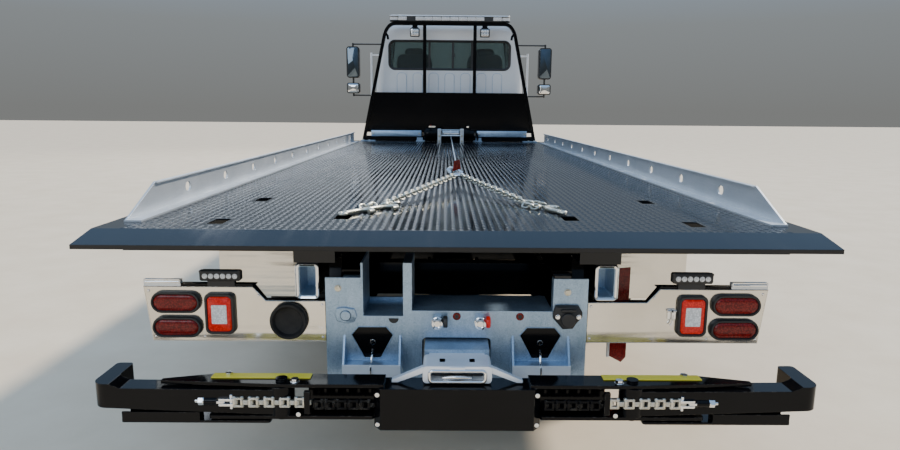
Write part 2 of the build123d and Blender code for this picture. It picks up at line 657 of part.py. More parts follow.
def headlamps():
    inner, outer = LAMP_X[0] + SEAT, LAMP_X[1] - SEAT
    low, high = LAMP_Z[0] + SEAT, LAMP_Z[1] - SEAT
    plan = outline([(inner, HOOD_FRONT - 60), (inner, HOOD_FRONT - 8), (inner + 80, HOOD_FRONT - 14), (outer, HOOD_FRONT - 84),
                    (outer, HOOD_FRONT - 134)], [0, 0, 60, 0, 0])
    side = outline([(HOOD_FRONT - 140, low), (HOOD_FRONT - 5, low), (HOOD_FRONT - 10, low + 45), (HOOD_FRONT - 50, high),
                    (HOOD_FRONT - 140, high)])
    return both(plan_slab(plan, (low, high)) & side_slab(side, (inner - 5, outer + 5)))


# Rear end
def six_sided(x, grow=0):
    return outline([(x - 52 - grow, 652), (x + 52 + grow, 652), (x + 78 + grow, 620), (x + 31 + grow, 530),
                    (x - 31 - grow, 530), (x - 78 - grow, 620)])


def rear_plate():
    front = PLATE_S + PLATE_T
    deep = PLATE_S + BOX_DEEP
    post_in = POST_IN - 13
    face = outline([(-PLATE_HALF, PLATE_BOTTOM), (PLATE_HALF, PLATE_BOTTOM), (PLATE_HALF, POST_TOP), (post_in, POST_TOP),
                    (post_in, BOX_TOP), (TROUGH[1] + 33, BOX_TOP), (TROUGH[1] + 33, TROUGH_FLOOR + 4),
                    (TROUGH[0], TROUGH_FLOOR + 4), (TROUGH[0], POST_TOP), (-PLATE_HALF, POST_TOP)])
    plate = front_slab(face, (PLATE_S, front))
    plate += block((TROUGH[1] + 33, post_in), (front, deep), (BOX_TOP - PLATE_T, BOX_TOP))
    plate += block((TROUGH[1], TROUGH[1] + 33), (PLATE_S, deep), (TROUGH_FLOOR - 4, TROUGH_WALL_TOP))
    plate += block((TROUGH[0], TROUGH[0] + 8), (PLATE_S, deep), (TROUGH_FLOOR - 4, TROUGH_WALL_TOP))
    plate += block((TROUGH[0], TROUGH[1] + 1), (PLATE_S, deep), (TROUGH_FLOOR - 4, TROUGH_FLOOR + 4))
    for side in (-1, 1):
        x = sorted((side * (POST_IN - 13), side * (RAIL_OUT - RAIL_WALL)))
        plate += block(x, (front, RAIL_REAR), (RAIL_BOTTOM, POST_TOP))
        plate += block(sorted((side * TUNNEL_HALF, side * (TUNNEL_HALF + 10))), (front, deep), (PLATE_BOTTOM, TUNNEL_TOP + 10))
        plate += block(sorted((side * 346, side * (RAIL_OUT - RAIL_FLANGE))), (front, deep), (PLATE_BOTTOM, RAIL_BOTTOM + 100))
    plate += block((-TUNNEL_HALF - 10, TUNNEL_HALF + 10), (front, deep), (TUNNEL_TOP, TUNNEL_TOP + 10))
    plate += block((-356, 356), (deep - 8, deep), (TUNNEL_TOP + 10, BOX_TOP - PLATE_T + 1))
    tunnel = rectangle((-TUNNEL_HALF, TUNNEL_HALF), (PLATE_BOTTOM - 60, TUNNEL_TOP), 18)
    plate -= front_slab(tunnel, (PLATE_S - 5, deep + 5))
    for x in (-POCKET_X, POCKET_X):
        plate -= front_slab(six_sided(x), (PLATE_S - 5, front + 1))
    # chain ledges: a shelf with two side gussets under each pocket
    gusset = outline([(PLATE_S, 619), (PLATE_S, 466), (152, 466), (152, 520)])
    for x in (-POCKET_X, POCKET_X):
        for edge in (x - 108, x + 100):
            plate += side_slab(gusset, (edge, edge + 8))
        plate += block((x - 108, x + 108), (152, PLATE_S), (512, 520))
        plate += block((x - 108, x + 108), (152, 160), (466, 520))
    return plate


def lamp_bars():
    face = outline([(PLATE_HALF + 0.5, BAR_BOTTOM), (BAR_OUT_BOTTOM, BAR_BOTTOM), (BAR_OUT_TOP, BAR_TOP), (755, BAR_TOP),
                    (708, BAR_NOTCH), (PLATE_HALF + 0.5, BAR_NOTCH)])
    sheet = front_slab(face, (PLATE_S, PLATE_S + BAR_T))
    sheet -= front_slab(rectangle((PLATE_HALF - 1, PLATE_HALF + 14), (PIVOT_Z - 56, PIVOT_Z + 56)), (PLATE_S + 1, PLATE_S + 5))
    top = block((755, BAR_OUT_TOP - 8), (PLATE_S, PLATE_S + 70), (BAR_TOP - BAR_T, BAR_TOP))
    low = block((520, BAR_OUT_BOTTOM - 6), (PLATE_S, PLATE_S + 70), (BAR_BOTTOM, BAR_BOTTOM + BAR_T))
    arm = block((PLATE_HALF + 13, 640), (PLATE_S + BAR_T, PLATE_S + 60), (BAR_BOTTOM + BAR_T, 700))
    return both(sheet + top + low + arm)


# centre across, centre height, width, height
OVALS = [(1037, 745, 182, 83), (1037, 650, 182, 81)]
BLOCK_LAMP = (876, 702, 112, 158)
STROBE = (870, 846, 150, 39)
ROUND_CUP = (-623, 676, 69)
BOARD_S = 296


def tail_lamps():
    lamps = Part()
    for x, z, wide, tall in OVALS:
        shape = Pos(x, z) * SlotOverall(wide, tall)
        lamps += front_slab(shape, (PLATE_S - 22, PLATE_S - SEAT))
    x, z, wide, tall = BLOCK_LAMP
    lamps += front_slab(Pos(x, z) * RectangleRounded(wide, tall, 14), (PLATE_S - 24, PLATE_S - SEAT))
    x, z, wide, tall = STROBE
    strobe = front_slab(Pos(x, z) * RectangleRounded(wide, tall, 8), (PLATE_S - 14, PLATE_S + 20))
    strobe += block((x - 50, x + 50), (PLATE_S, PLATE_S + 20), (BAR_TOP + SEAT, z - tall / 2 + 1))
    lamps += strobe
    return both(lamps)


def rear_fittings():
    x, z, r = ROUND_CUP
    cup = rod_y(r, x, (PLATE_S - 26, PLATE_S - SEAT), z) - rod_y(r - 14, x, (PLATE_S - 30, PLATE_S - 8), z)
    socket = block((370, 486), (PLATE_S - 46, PLATE_S - SEAT), (660, 744))
    cap = rod_y(40, 428, (PLATE_S - 60, PLATE_S - 44), 702)
    couplers = Part()
    for cx in (-68, 90):
        couplers += rod_y(17, cx, (PLATE_S - 70, PLATE_S - SEAT), 680)
    post_cap = block((POST_IN - 10, RAIL_OUT - 10), (PLATE_S + 2, PLATE_S + 40), (POST_TOP + SEAT, POST_TOP + 12))
    board = front_slab(outline([(600, 505), (650, 478), (668, 500), (668, 862), (600, 856)]), (BOARD_S, BOARD_S + 6))
    board += block((600, 632), (PLATE_S + 60 + SEAT, BOARD_S), (640, 668))
    return cup + socket + cap + couplers + post_cap + board


def wheel_guards():
    panel_face = outline([(840, 470), (1080, 470), (1230, 560), (1230, 900), (700, 900), (700, 640)])
    flap = front_slab(panel_face, (1200, 1204)) + block((RAIL_OUT, 720), (1200, 1230), (680, 740))
    arcs = Part()
    for start in (22, 112):
        ring = make_face(Line((520, 0), (526, 0)) + CenterArc((0, 0), 526, 0, 46) + Line(
            (526 * math.cos(math.radians(46)), 526 * math.sin(math.radians(46))),
            (520 * math.cos(math.radians(46)), 520 * math.sin(math.radians(46)))) + CenterArc((0, 0), 520, 46, -46))
        arcs += side_slab(Pos(REAR_AXLE, WHEEL_R) * Rot(0, 0, start) * ring, (630, 1235))
    arcs &= block((0, 1400), (REAR_AXLE - 700, REAR_AXLE + 700), (400, 915))
    stays = Part()
    for s in (REAR_AXLE - 480, REAR_AXLE + 455):
        stays += block((RAIL_OUT, 640), (s, s + 25), (690, 720))
    splash = plan_slab(rectangle((780, 1185), (7850, 7856)), (560, 920)) + block((780, 1185), (7856, 8060), (914, 920))
    splash += block((780, 790), (7850, 8060), (840, 920)) + block((RAIL_OUT, 785), (7850, 7880), (700, 740))
    return both(flap + arcs + stays + splash)


# Bed that slides on the tilt frame
def slots():
    cuts = Part()
    # across, station, width, length of each key slot
    for x, s, wide, long in [(450, 420, 60, 110), (900, 300, 60, 110), (900, 900, 60, 110), (450, 5900, 60, 110)]:
        cuts += Pos(x, at(s), DECK_TOP) * Box(wide, long, 60)
    return both(cuts)


def bed_deck():
    under = DECK_TOP - DECK_PLATE
    edge = DECK_TOP - 30
    tail = side_slab(outline([(0, edge - 15), (0, edge), (APPROACH, DECK_TOP), (APPROACH, under - 10)]), (-DECK_HALF, DECK_HALF))
    deck = block((-DECK_HALF + STRIP, DECK_HALF - STRIP), (APPROACH, BED_FRONT), (under, DECK_TOP)) + tail
    deck += both(block((DECK_HALF - STRIP - 1, DECK_HALF), (APPROACH, BED_FRONT), (under - 66, DECK_TOP)))
    count = int((BED_FRONT - 300) / CROSS_PITCH) + 1
    low = under - CROSS_TALL
    knee = outline([(TUBE_OUT - 1, TUBE_TOP + 14), (TUBE_OUT + 50, low + 1), (TUBE_OUT - 1, low + 1)])
    for step in range(count):
        s = 150 + step * CROSS_PITCH
        deck += block((-DECK_HALF + STRIP, DECK_HALF - STRIP), (s, s + 60), (low, under + 1))
        if step:
            deck += both(front_slab(knee, (s + 26, s + 34)))
    riser = block((RISER_IN, TUBE_OUT), (150, BED_FRONT - 40), (TILT_TOP + PAD + SEAT, under - CROSS_TALL + 1))
    riser += block((TUBE_IN, TUBE_OUT), (TUBE_REAR, BED_FRONT - 40), (TUBE_TOP - 1, under - CROSS_TALL))
    tube = block((TUBE_IN, TUBE_OUT), (TUBE_REAR, BED_FRONT - 40), (TUBE_BOTTOM, TUBE_TOP))
    tube -= block((TUBE_IN + TUBE_WALL, TUBE_OUT - TUBE_WALL), (TUBE_REAR - 1, BED_FRONT - 39),
                  (TUBE_BOTTOM + TUBE_WALL, TUBE_TOP - TUBE_WALL))
    deck += both(riser + tube)
    deck -= slots()
    lug = block((-30, 30), (SLIDE_EYE - 50, SLIDE_EYE + 40), (SLIDE_Z - 45, under - CROSS_TALL + 1))
    lug += block((-100, 100), (SLIDE_EYE - 50, SLIDE_EYE + 70), (under - CROSS_TALL - 12, under - CROSS_TALL + 20))
    rod = rod_y(SLIDE_ROD_R, 0, (SLIDE_EYE, BARREL_FRONT - 45), SLIDE_Z)
    rod += rod_y(SLIDE_ROD_R + 7.5, 0, (BARREL_FRONT - 80, BARREL_FRONT - 45), SLIDE_Z)
    return deck + lug + rod


def side_rails():
    x = 1237
    web = side_slab(outline([(531, DECK_TOP + 123), (265, DECK_TOP + 4), (265, DECK_TOP), (6320, DECK_TOP),
                             (6320, DECK_TOP + 123)]),
                    (x - 4, x + 4))
    foot = block((x - 60, x + 4), (265, 6320), (DECK_TOP, DECK_TOP + 8))
    lip = block((x - 18, x + 4), (531, 6320), (DECK_TOP + 117, DECK_TOP + 123))
    for step in range(11):
        s = 864 + 514 * step
        web -= side_slab(Pos(s, DECK_TOP + 65) * SlotOverall(60, 42), (x - 10, x + 10))
    return both(web + foot + lip)


def headboard():
    leg = [(-HEAD_FOOT, DECK_TOP), (-HEAD_SHOULDER[0], HEAD_SHOULDER[1]), (-HEAD_SHOULDER[0] + 90, HEAD_TOP),
           (HEAD_SHOULDER[0] - 90, HEAD_TOP), (HEAD_SHOULDER[0], HEAD_SHOULDER[1]), (HEAD_FOOT, DECK_TOP)]
    t = HEAD_TUBE
    inner = [(-HEAD_FOOT + t, DECK_TOP - 1), (-HEAD_SHOULDER[0] + t, HEAD_SHOULDER[1] - 12),
             (-HEAD_SHOULDER[0] + 90 + t / 2, HEAD_TOP - t), (HEAD_SHOULDER[0] - 90 - t / 2, HEAD_TOP - t),
             (HEAD_SHOULDER[0] - t, HEAD_SHOULDER[1] - 12), (HEAD_FOOT - t, DECK_TOP - 1)]
    span = (HEAD_S, HEAD_S + HEAD_DEEP)
    bends = [0, HEAD_BEND, HEAD_BEND, HEAD_BEND, HEAD_BEND, 0]
    hoop = front_slab(outline(leg, bends), span)
    hoop -= front_slab(outline(inner, [max(0, r - t / 2) for r in bends]), (span[0] - 1, span[1] + 1))
    lean = (HEAD_FOOT - HEAD_SHOULDER[0]) / (HEAD_SHOULDER[1] - DECK_TOP)
    low_half = HEAD_FOOT - lean * (1177 - DECK_TOP) - 10
    high_half = HEAD_FOOT - lean * (1671 - DECK_TOP) - 10
    panel = outline([(-low_half, 1177), (low_half, 1177), (high_half, 1671), (-high_half, 1671)])
    board = hoop + front_slab(panel, (HEAD_S + 20, HEAD_S + 26))
    for side in (-1, 1):
        x = side * 329
        board += block((x - 22, x + 22), (HEAD_S + 5, HEAD_S + 45), (1660, HEAD_TOP - 10))
        foot = sorted((side * (HEAD_FOOT - 110), side * HEAD_FOOT))
        board += block(foot, (HEAD_S - 20, HEAD_S + HEAD_DEEP + 20), (DECK_TOP, DECK_TOP + 10))
    board += block((-low_half - 10, low_half + 10), (HEAD_S + 5, HEAD_S + 45), (1150, 1190))
    posts = both(block((360, 400), (HEAD_S + 5, HEAD_S + 45), (DECK_TOP, 1160)))
    posts += both(front_slab(rectangle((370, 1040), (1093, 1173), 8), (HEAD_S - 14, HEAD_S + 6)))
    edge = HEAD_SHOULDER[0] + 5
    corner = [(edge, HEAD_TOP - 331), (edge, HEAD_TOP - 296), (edge - 100, HEAD_TOP - 216), (edge - 122, HEAD_TOP - 222)]
    posts += both(front_slab(outline(corner), (HEAD_S + 14, HEAD_S + 34)))
    return board + posts


def light_bar():
    base = HEAD_TOP + 19
    deep = (HEAD_S - 30, HEAD_S + 90)
    bar = plan_slab(rectangle((-792, 792), deep, 30), (base, base + 20))
    bar += plan_slab(rectangle((-788, 788), deep, 26), (base + 55, base + 65))
    for step in range(14):
        x = -785 + step * 112.6
        bar += plan_slab(rectangle((x, x + 106), (deep[0] + 4, deep[1] - 4), 8), (base + 19, base + 56))
    feet = both(block((560, 620), (HEAD_S, HEAD_S + 60), (HEAD_TOP, base)))
    lamps = both(block((456 - 62, 456 + 62), (HEAD_S - 45, HEAD_S + 25), (HEAD_TOP - 189, HEAD_TOP - 84)))
    hangers = both(block((446, 466), (HEAD_S, HEAD_S + 20), (HEAD_TOP - 91, HEAD_TOP - HEAD_TUBE)))
    return bar + feet + lamps + hangers


WINCH_S = 6400
WINCH_Z = 1135


def winch():
    drum = rod_x(62, (-115, 150), WINCH_S, WINCH_Z)
    ends = rod_x(95, (-115, -100), WINCH_S, WINCH_Z) + rod_x(95, (136, 151), WINCH_S, WINCH_Z)
    gear = rod_x(88, (-330, -114), WINCH_S, WINCH_Z) + rod_x(78, (150, 330), WINCH_S, WINCH_Z)
    feet = block((-150, 185), (WINCH_S - 105, WINCH_S + 105), (DECK_TOP, DECK_TOP + 14))
    feet += block((-150, -130), (WINCH_S - 90, WINCH_S + 90), (DECK_TOP, WINCH_Z + 60))
    feet += block((165, 185), (WINCH_S - 90, WINCH_S + 90), (DECK_TOP, WINCH_Z + 60))
    posts = Part()
    for side in (-1, 1):
        x = 18 + side * 145
        posts += block((x - 23, x + 23), (WINCH_S - 150, WINCH_S - 104), (DECK_TOP, 1260))
    roller = rod_x(20, (-127, 163), WINCH_S - 127, 1235) + rod_x(20, (-127, 163), WINCH_S - 127, 1062)
    return drum + ends + gear + feet + posts + roller


# Chain links, each a flat eight-cornered ring, turned a quarter from one to the next
LINK_WIRE = 10
LINK_PITCH = 31
CABLE_R = 6
APEX = (22, 1410, 1100)


def link():
    long = LINK_PITCH + 2 * LINK_WIRE - 2 * SEAT
    wide = 36
    cut = 11
    ring = []
    for half_l, half_w, corner in [(long / 2, wide / 2, cut), (long / 2 - LINK_WIRE, wide / 2 - LINK_WIRE, 5)]:
        ring.append(outline([(-half_l, -half_w + corner), (-half_l + corner, -half_w), (half_l - corner, -half_w),
                             (half_l, -half_w + corner), (half_l, half_w - corner), (half_l - corner, half_w),
                             (-half_l + corner, half_w), (-half_l, half_w - corner)]))
    face = ring[0] - ring[1]
    return extrude(face, LINK_WIRE / 2, both=True)


def chain(start, end):
    a = Vector(start[0], at(start[1]), start[2])
    b = Vector(end[0], at(end[1]), end[2])
    line = b - a
    count = int(line.length / LINK_PITCH)
    links = []
    for step in range(count):
        centre = a + line * ((step + 0.5) / count)
        turn = 45 if step % 2 else -45
        side = line.cross(Vector(0, 0, 1)).normalized()
        links.append(Plane(origin=centre, x_dir=line, z_dir=side.cross(line)) * Rot(turn, 0, 0) * link())
    return links


def bridle():
    x, s, z = APEX
    low = DECK_TOP + 16.6
    hook_z = DECK_TOP + 9 + SEAT
    pieces = chain((x - 22, s - 30, z), (-312, 651, low)) + chain((x + 22, s - 30, z), (307, 773, low))
    pieces += chain((-345, 640, low), (-400, 560, low))
    # apex ring, grab hooks and J hooks
    pieces.append(Pos(x, at(s), z) * (Cylinder(42, 14) - Cylinder(27, 20)))
    hook = outline([(-14, -60), (14, -60), (14, 30), (34, 60), (20, 84), (-14, 70)])
    for hx, hs, turn in [(-328, 612, 35), (318, 735, -14), (-430, 490, 22), (410, 560, -24)]:
        flat = extrude(Rot(0, 0, 180 + turn) * hook, 9, both=True)
        pieces.append(Pos(hx, at(hs), hook_z) * flat)
    return Compound(children=pieces)


def tow_cable():
    x, s, z = APEX
    return rod_y(CABLE_R, x, (s + 46, WINCH_S - 61.5), z + 6) + rod_y(16, x, (s + 42.3, s + 150), z)


# Tilt frame
def tilt_frame():
    ear = outline([(PIVOT_S - 36, PIVOT_Z), (PIVOT_S - 25, PIVOT_Z - 26), (PIVOT_S, PIVOT_Z - 36), (PIVOT_S + 25, PIVOT_Z - 26),
                   (PIVOT_S + 110, PIVOT_Z + 20), (PIVOT_S + 330, TILT_BOTTOM + 2), (PIVOT_S + 6, TILT_BOTTOM + 2)])
    rail_face = outline([(PIVOT_S + 6, TILT_BOTTOM), (TILT_FRONT, TILT_BOTTOM), (TILT_FRONT, TILT_TOP),
                         (PIVOT_S + 40, TILT_TOP)])
    rail = side_slab(rail_face, (TILT_IN, TILT_OUT)) + side_slab(ear, (TILT_IN, TILT_OUT))
    rail -= rod_x(PIVOT_R + RUN, (TILT_IN - 5, TILT_OUT + 5), PIVOT_S, PIVOT_Z)
    rail += block((TILT_IN + 2, TILT_OUT - 4), (PIVOT_S + 60, TILT_FRONT - 10), (TILT_TOP, TILT_TOP + PAD))
    for s in (420, 1500, 2600, 3700, 4700):
        rail += block((TILT_OUT, TUBE_IN - SEAT), (s, s + 120), (TILT_BOTTOM + 20, TILT_TOP - 20))
    frame = both(rail)
    for s in (BARREL_REAR + 90, 2450, 3550, 4750):
        frame += block((-TILT_IN, TILT_IN), (s, s + 90), (RAIL_TOP + GAP, 934))
    frame += both(block((LIFT_X - 50, LIFT_X + 50), (LIFT_EYE[0] - 60, LIFT_EYE[0] + 151), (926, 934)))
    frame += block((-TILT_IN, TILT_IN), (LIFT_EYE[0] + 90, LIFT_EYE[0] + 150), (RAIL_TOP + GAP, 934))
    eye_lug = side_slab(outline([(LIFT_EYE[0] - 60, 934), (LIFT_EYE[0] - 30, LIFT_EYE[1] - 30),
                                 (LIFT_EYE[0] + 30, LIFT_EYE[1] - 30), (LIFT_EYE[0] + 60, 934)]), (-8, 8))
    for x in (LIFT_X - 42, LIFT_X + 42):
        frame += both(Pos(x, 0, 0) * eye_lug)
    frame += rod_y(BARREL_R, 0, (BARREL_REAR, BARREL_FRONT), SLIDE_Z)
    frame -= rod_y(SLIDE_ROD_R + 8, 0, (BARREL_REAR + 50, BARREL_FRONT - 30), SLIDE_Z)
    return frame - rod_y(SLIDE_ROD_R + 0.2, 0, (BARREL_REAR - 5, BARREL_REAR + 60), SLIDE_Z)


def along(a, b, r, start, length):
    line = Vector(0, b[0] - a[0], b[1] - a[1]).normalized()
    origin = Vector(0, at(a[0]), a[1]) + line * start
    return Plane(origin=origin, z_dir=line) * Cylinder(r, length, align=(Align.CENTER, Align.CENTER, Align.MIN))


LIFT_SPAN = math.dist(LIFT_BASE, LIFT_EYE)


def lift_barrels():
    tube = along(LIFT_BASE, LIFT_EYE, LIFT_BARREL_R, 20, LIFT_SPAN - 120)
    eye = rod_x(EYE_R, (-LIFT_LUG + 10, LIFT_LUG - 10), *LIFT_BASE)
    tube = tube + eye - rod_x(PIVOT_R + RUN, (-60, 60), *LIFT_BASE)
    tube -= along(LIFT_BASE, LIFT_EYE, LIFT_ROD_R + RUN, 60, LIFT_SPAN)
    return Pos(LIFT_X, 0, 0) * tube + Pos(-LIFT_X, 0, 0) * tube


def lift_rods():
    rod = along(LIFT_BASE, LIFT_EYE, LIFT_ROD_R, 70, LIFT_SPAN - 90)
    eye = rod_x(30, (-22, 22), *LIFT_EYE)
    return Pos(LIFT_X, 0, 0) * (rod + eye) + Pos(-LIFT_X, 0, 0) * (rod + eye)


# Wheel lift
def lift_boom():
    s_front = BOOM_HINGE[0] - 60
    tube = block((-BOOM_HALF, BOOM_HALF), (BOOM_REAR, s_front), (BOOM_BOTTOM, BOOM_TOP))
    tube -= block((-STINGER_HALF - SEAT, STINGER_HALF + SEAT), (BOOM_REAR - 1, s_front - 12),
                  (STINGER_BOTTOM - SEAT, STINGER_TOP + SEAT))
    nose = side_slab(outline([(s_front - 1, BOOM_BOTTOM + 20), (BOOM_HINGE[0] + 10, BOOM_HINGE[1] - 40),
                              (BOOM_HINGE[0] + 38, BOOM_HINGE[1]), (BOOM_HINGE[0] + 10, BOOM_HINGE[1] + 38),
                              (s_front - 1, BOOM_TOP - 4)]), (-BOOM_HALF, BOOM_HALF))
    return tube + nose - rod_x(PIVOT_R + RUN, (-200, 200), *BOOM_HINGE)


def stinger():
    tube = block((-STINGER_HALF, STINGER_HALF), (80, BOOM_HINGE[0] - 80), (STINGER_BOTTOM, STINGER_TOP))
    tube -= block((-STINGER_HALF + 14, STINGER_HALF - 14), (79, BOOM_HINGE[0] - 79), (STINGER_BOTTOM + 14, STINGER_TOP - 14))
    head = rod_z(52, 0, SWIVEL_S, (391, 502)) + block((-52, 52), (SWIVEL_S, 98), (391, 502))
    # open housing above the bar, with a brace down to each side
    low = CROSS_TOP + 5
    housing = front_slab(rectangle((-YOKE_HALF, YOKE_HALF), (low, STINGER_TOP), 14), (YOKE_REAR, 92))
    housing -= front_slab(rectangle((-YOKE_HALF + 26, YOKE_HALF - 26), (low + 8, STINGER_TOP - 20), 10), (YOKE_REAR - 1, 93))
    brace = outline([(YOKE_HALF - 8, STINGER_TOP - 6), (YOKE_HALF - 1, STINGER_TOP - 5), (226, low + 8), (226, low),
                     (206, low), (YOKE_HALF - 8, STINGER_TOP - 24)])
    housing += both(front_slab(brace, (YOKE_REAR + 6, YOKE_REAR + 28)))
    return tube + head + housing - rod_z(SWIVEL_R + RUN, 0, SWIVEL_S, (300, 515))


def crossbar():
    wall = 8
    back, front, half = CROSS_BACK, 40, CROSS_HALF
    shell = outline([(-half, front), (-half, back + 30), (24 - half, back), (half - 24, back), (half, back + 30), (half, front)])
    room = outline([(wall - half, front + 1), (wall - half, back + 33), (29 - half, back + wall), (half - 29, back + wall),
                    (half - wall, back + 33), (half - wall, front + 1)])
    centre = plan_slab(shell, (CROSS_LOW, CROSS_TOP)) - plan_slab(room, (CROSS_LOW + 16, CROSS_TOP - 16))
    centre += rod_z(SWIVEL_R, 0, SWIVEL_S, (CROSS_LOW, CROSS_TOP))
    # each arm: an upper plate that tapers outward, a lower plate, and the wall that ties them in front
    upper = outline([(half - 36, back + 10), (600, back + 10), (1015, CLAW_S - 10), (1015, CLAW_S + 7), (850, 38),
                     (half - 36, 38)])
    arm = plan_slab(upper, (CROSS_TOP, CROSS_TOP + 12))
    arm += plan_slab(rectangle((half - 1, 850), (back + 15, 38), 12), (404, 416))
    arm += block((half - 1, 520), (20, 38), (404, CROSS_TOP + 1))
    arm += rod_z(CLAW_R, CLAW_X, CLAW_S, (396, CROSS_TOP + 20))
    return centre + both(arm)


def claw():
    root = rod_z(44, CLAW_X, CLAW_S, (416 + SEAT, CROSS_TOP - SEAT))
    near, far = CLAW_S - 38, CLAW_S + 38
    hook = outline([(CLAW_X, near), (CLAW_END, near), (CLAW_END, 140), (CLAW_END - 60, 140), (CLAW_END - 60, far), (CLAW_X, far)],
                   [0, 45, 14, 14, 18, 0])
    rise = outline([(CLAW_X - 60, 424), (660, 424), (CLAW_END, 446), (CLAW_END, 530), (CLAW_END - 62, 530), (CLAW_END - 100, 515),
                    (660, 512), (CLAW_X - 60, 512)])
    arm = plan_slab(hook, (400, 560)) & front_slab(rise, (near - 10, 150))
    arm += rod_z(38, CLAW_X, CLAW_S, (424, 512))
    # tray under the arm, beyond the bar's lower plate
    tray = plan_slab(rectangle((640, 1150), (near + 4, far - 6), 10), (390, 398))
    tray += block((880, 1145), (near + 4, near + 10), (391, 428))
    tray += block((880, 1130), (CLAW_S - 4, CLAW_S + 4), (397, 445))
    return root + arm + tray - rod_z(CLAW_R + RUN, CLAW_X, CLAW_S, (300, 700))


WHOLE = {
    "frame_rails": frame_rails, "front_axle": front_axle, "rear_axle": rear_axle, "leaf_springs": leaf_springs,
    "engine_block": engine_block, "fuel_tanks": fuel_tanks, "exhaust": exhaust, "tool_boxes": tool_boxes,
    "bumper": bumper, "cab_shell": cab_shell, "cab_glass": cab_glass, "cab_interior": cab_interior,
    "mirrors": mirrors, "hood": hood, "grille": grille, "headlamps": headlamps, "rear_plate": rear_plate,
    "lamp_bars": lamp_bars, "tail_lamps": tail_lamps, "rear_fittings": rear_fittings, "wheel_guards": wheel_guards,
    "bed_deck": bed_deck, "side_rails": side_rails, "headboard": headboard, "light_bar": light_bar, "winch": winch,
    "bridle": bridle, "tow_cable": tow_cable, "tilt_frame": tilt_frame, "lift_barrels": lift_barrels,
    "lift_rods": lift_rods, "lift_boom": lift_boom, "stinger": stinger, "crossbar": crossbar, "tie_rod": tie_rod,
}
for name, make in WHOLE.items():
    save(name, make())

PAIRS = {"knuckle": knuckle, "front_rim": front_rim, "rear_rim": rear_rim, "door": door, "door_glass": door_glass,
         "box_door": tool_box_door, "claw": claw}
for stem, make in PAIRS.items():
    save_pair(stem, make())

save_pair("front_tyre", turned(tyre(FRONT_WHEEL_X), FRONT_AXLE))
twin = turned(tyre(REAR_WHEEL_X - TWIN_PITCH / 2), REAR_AXLE) + turned(tyre(REAR_WHEEL_X + TWIN_PITCH / 2), REAR_AXLE)
save_pair("rear_tyre", twin)
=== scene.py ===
import math

import bmesh
import bpy
from mathutils import Matrix, Vector


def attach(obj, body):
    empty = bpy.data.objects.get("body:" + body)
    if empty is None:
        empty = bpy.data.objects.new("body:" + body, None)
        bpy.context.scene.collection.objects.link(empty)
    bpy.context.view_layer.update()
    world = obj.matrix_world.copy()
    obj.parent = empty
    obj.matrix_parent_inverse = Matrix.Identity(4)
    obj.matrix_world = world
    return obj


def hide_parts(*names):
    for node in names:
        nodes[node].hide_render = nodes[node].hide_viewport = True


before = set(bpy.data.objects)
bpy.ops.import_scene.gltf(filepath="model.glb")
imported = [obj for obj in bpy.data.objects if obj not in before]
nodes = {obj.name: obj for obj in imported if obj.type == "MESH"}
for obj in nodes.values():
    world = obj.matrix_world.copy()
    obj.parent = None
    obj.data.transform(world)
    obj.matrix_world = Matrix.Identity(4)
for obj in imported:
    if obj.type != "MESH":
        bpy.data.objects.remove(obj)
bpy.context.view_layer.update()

# Millimetres along the truck are counted forward from the tail of the bed
TAIL = 4729
DECK = 1030


def place(x, s, z):
    """Metres in the frame from millimetres across, forward from the tail, and up."""
    return Vector((x / 1000, (s - TAIL) / 1000, z / 1000))


# Materials
class Socket:
    """A value in a material, written in sums as a number is."""

    def __init__(self, finish, socket):
        self.finish = finish
        self.socket = socket

    def combine(self, operation, first, second):
        return self.finish.node("ShaderNodeMath", {"operation": operation}, {0: first, 1: second})[0]

    def __add__(self, other):
        return self.combine("ADD", self, other)

    def __radd__(self, other):
        return self.combine("ADD", other, self)

    def __mul__(self, other):
        return self.combine("MULTIPLY", self, other)

    def __rmul__(self, other):
        return self.combine("MULTIPLY", other, self)


class Placed:
    """A node of a material, whose outputs are read by number or name."""

    def __init__(self, finish, node):
        self.finish = finish
        self.node = node

    def __getitem__(self, key):
        return Socket(self.finish, self.node.outputs[key])


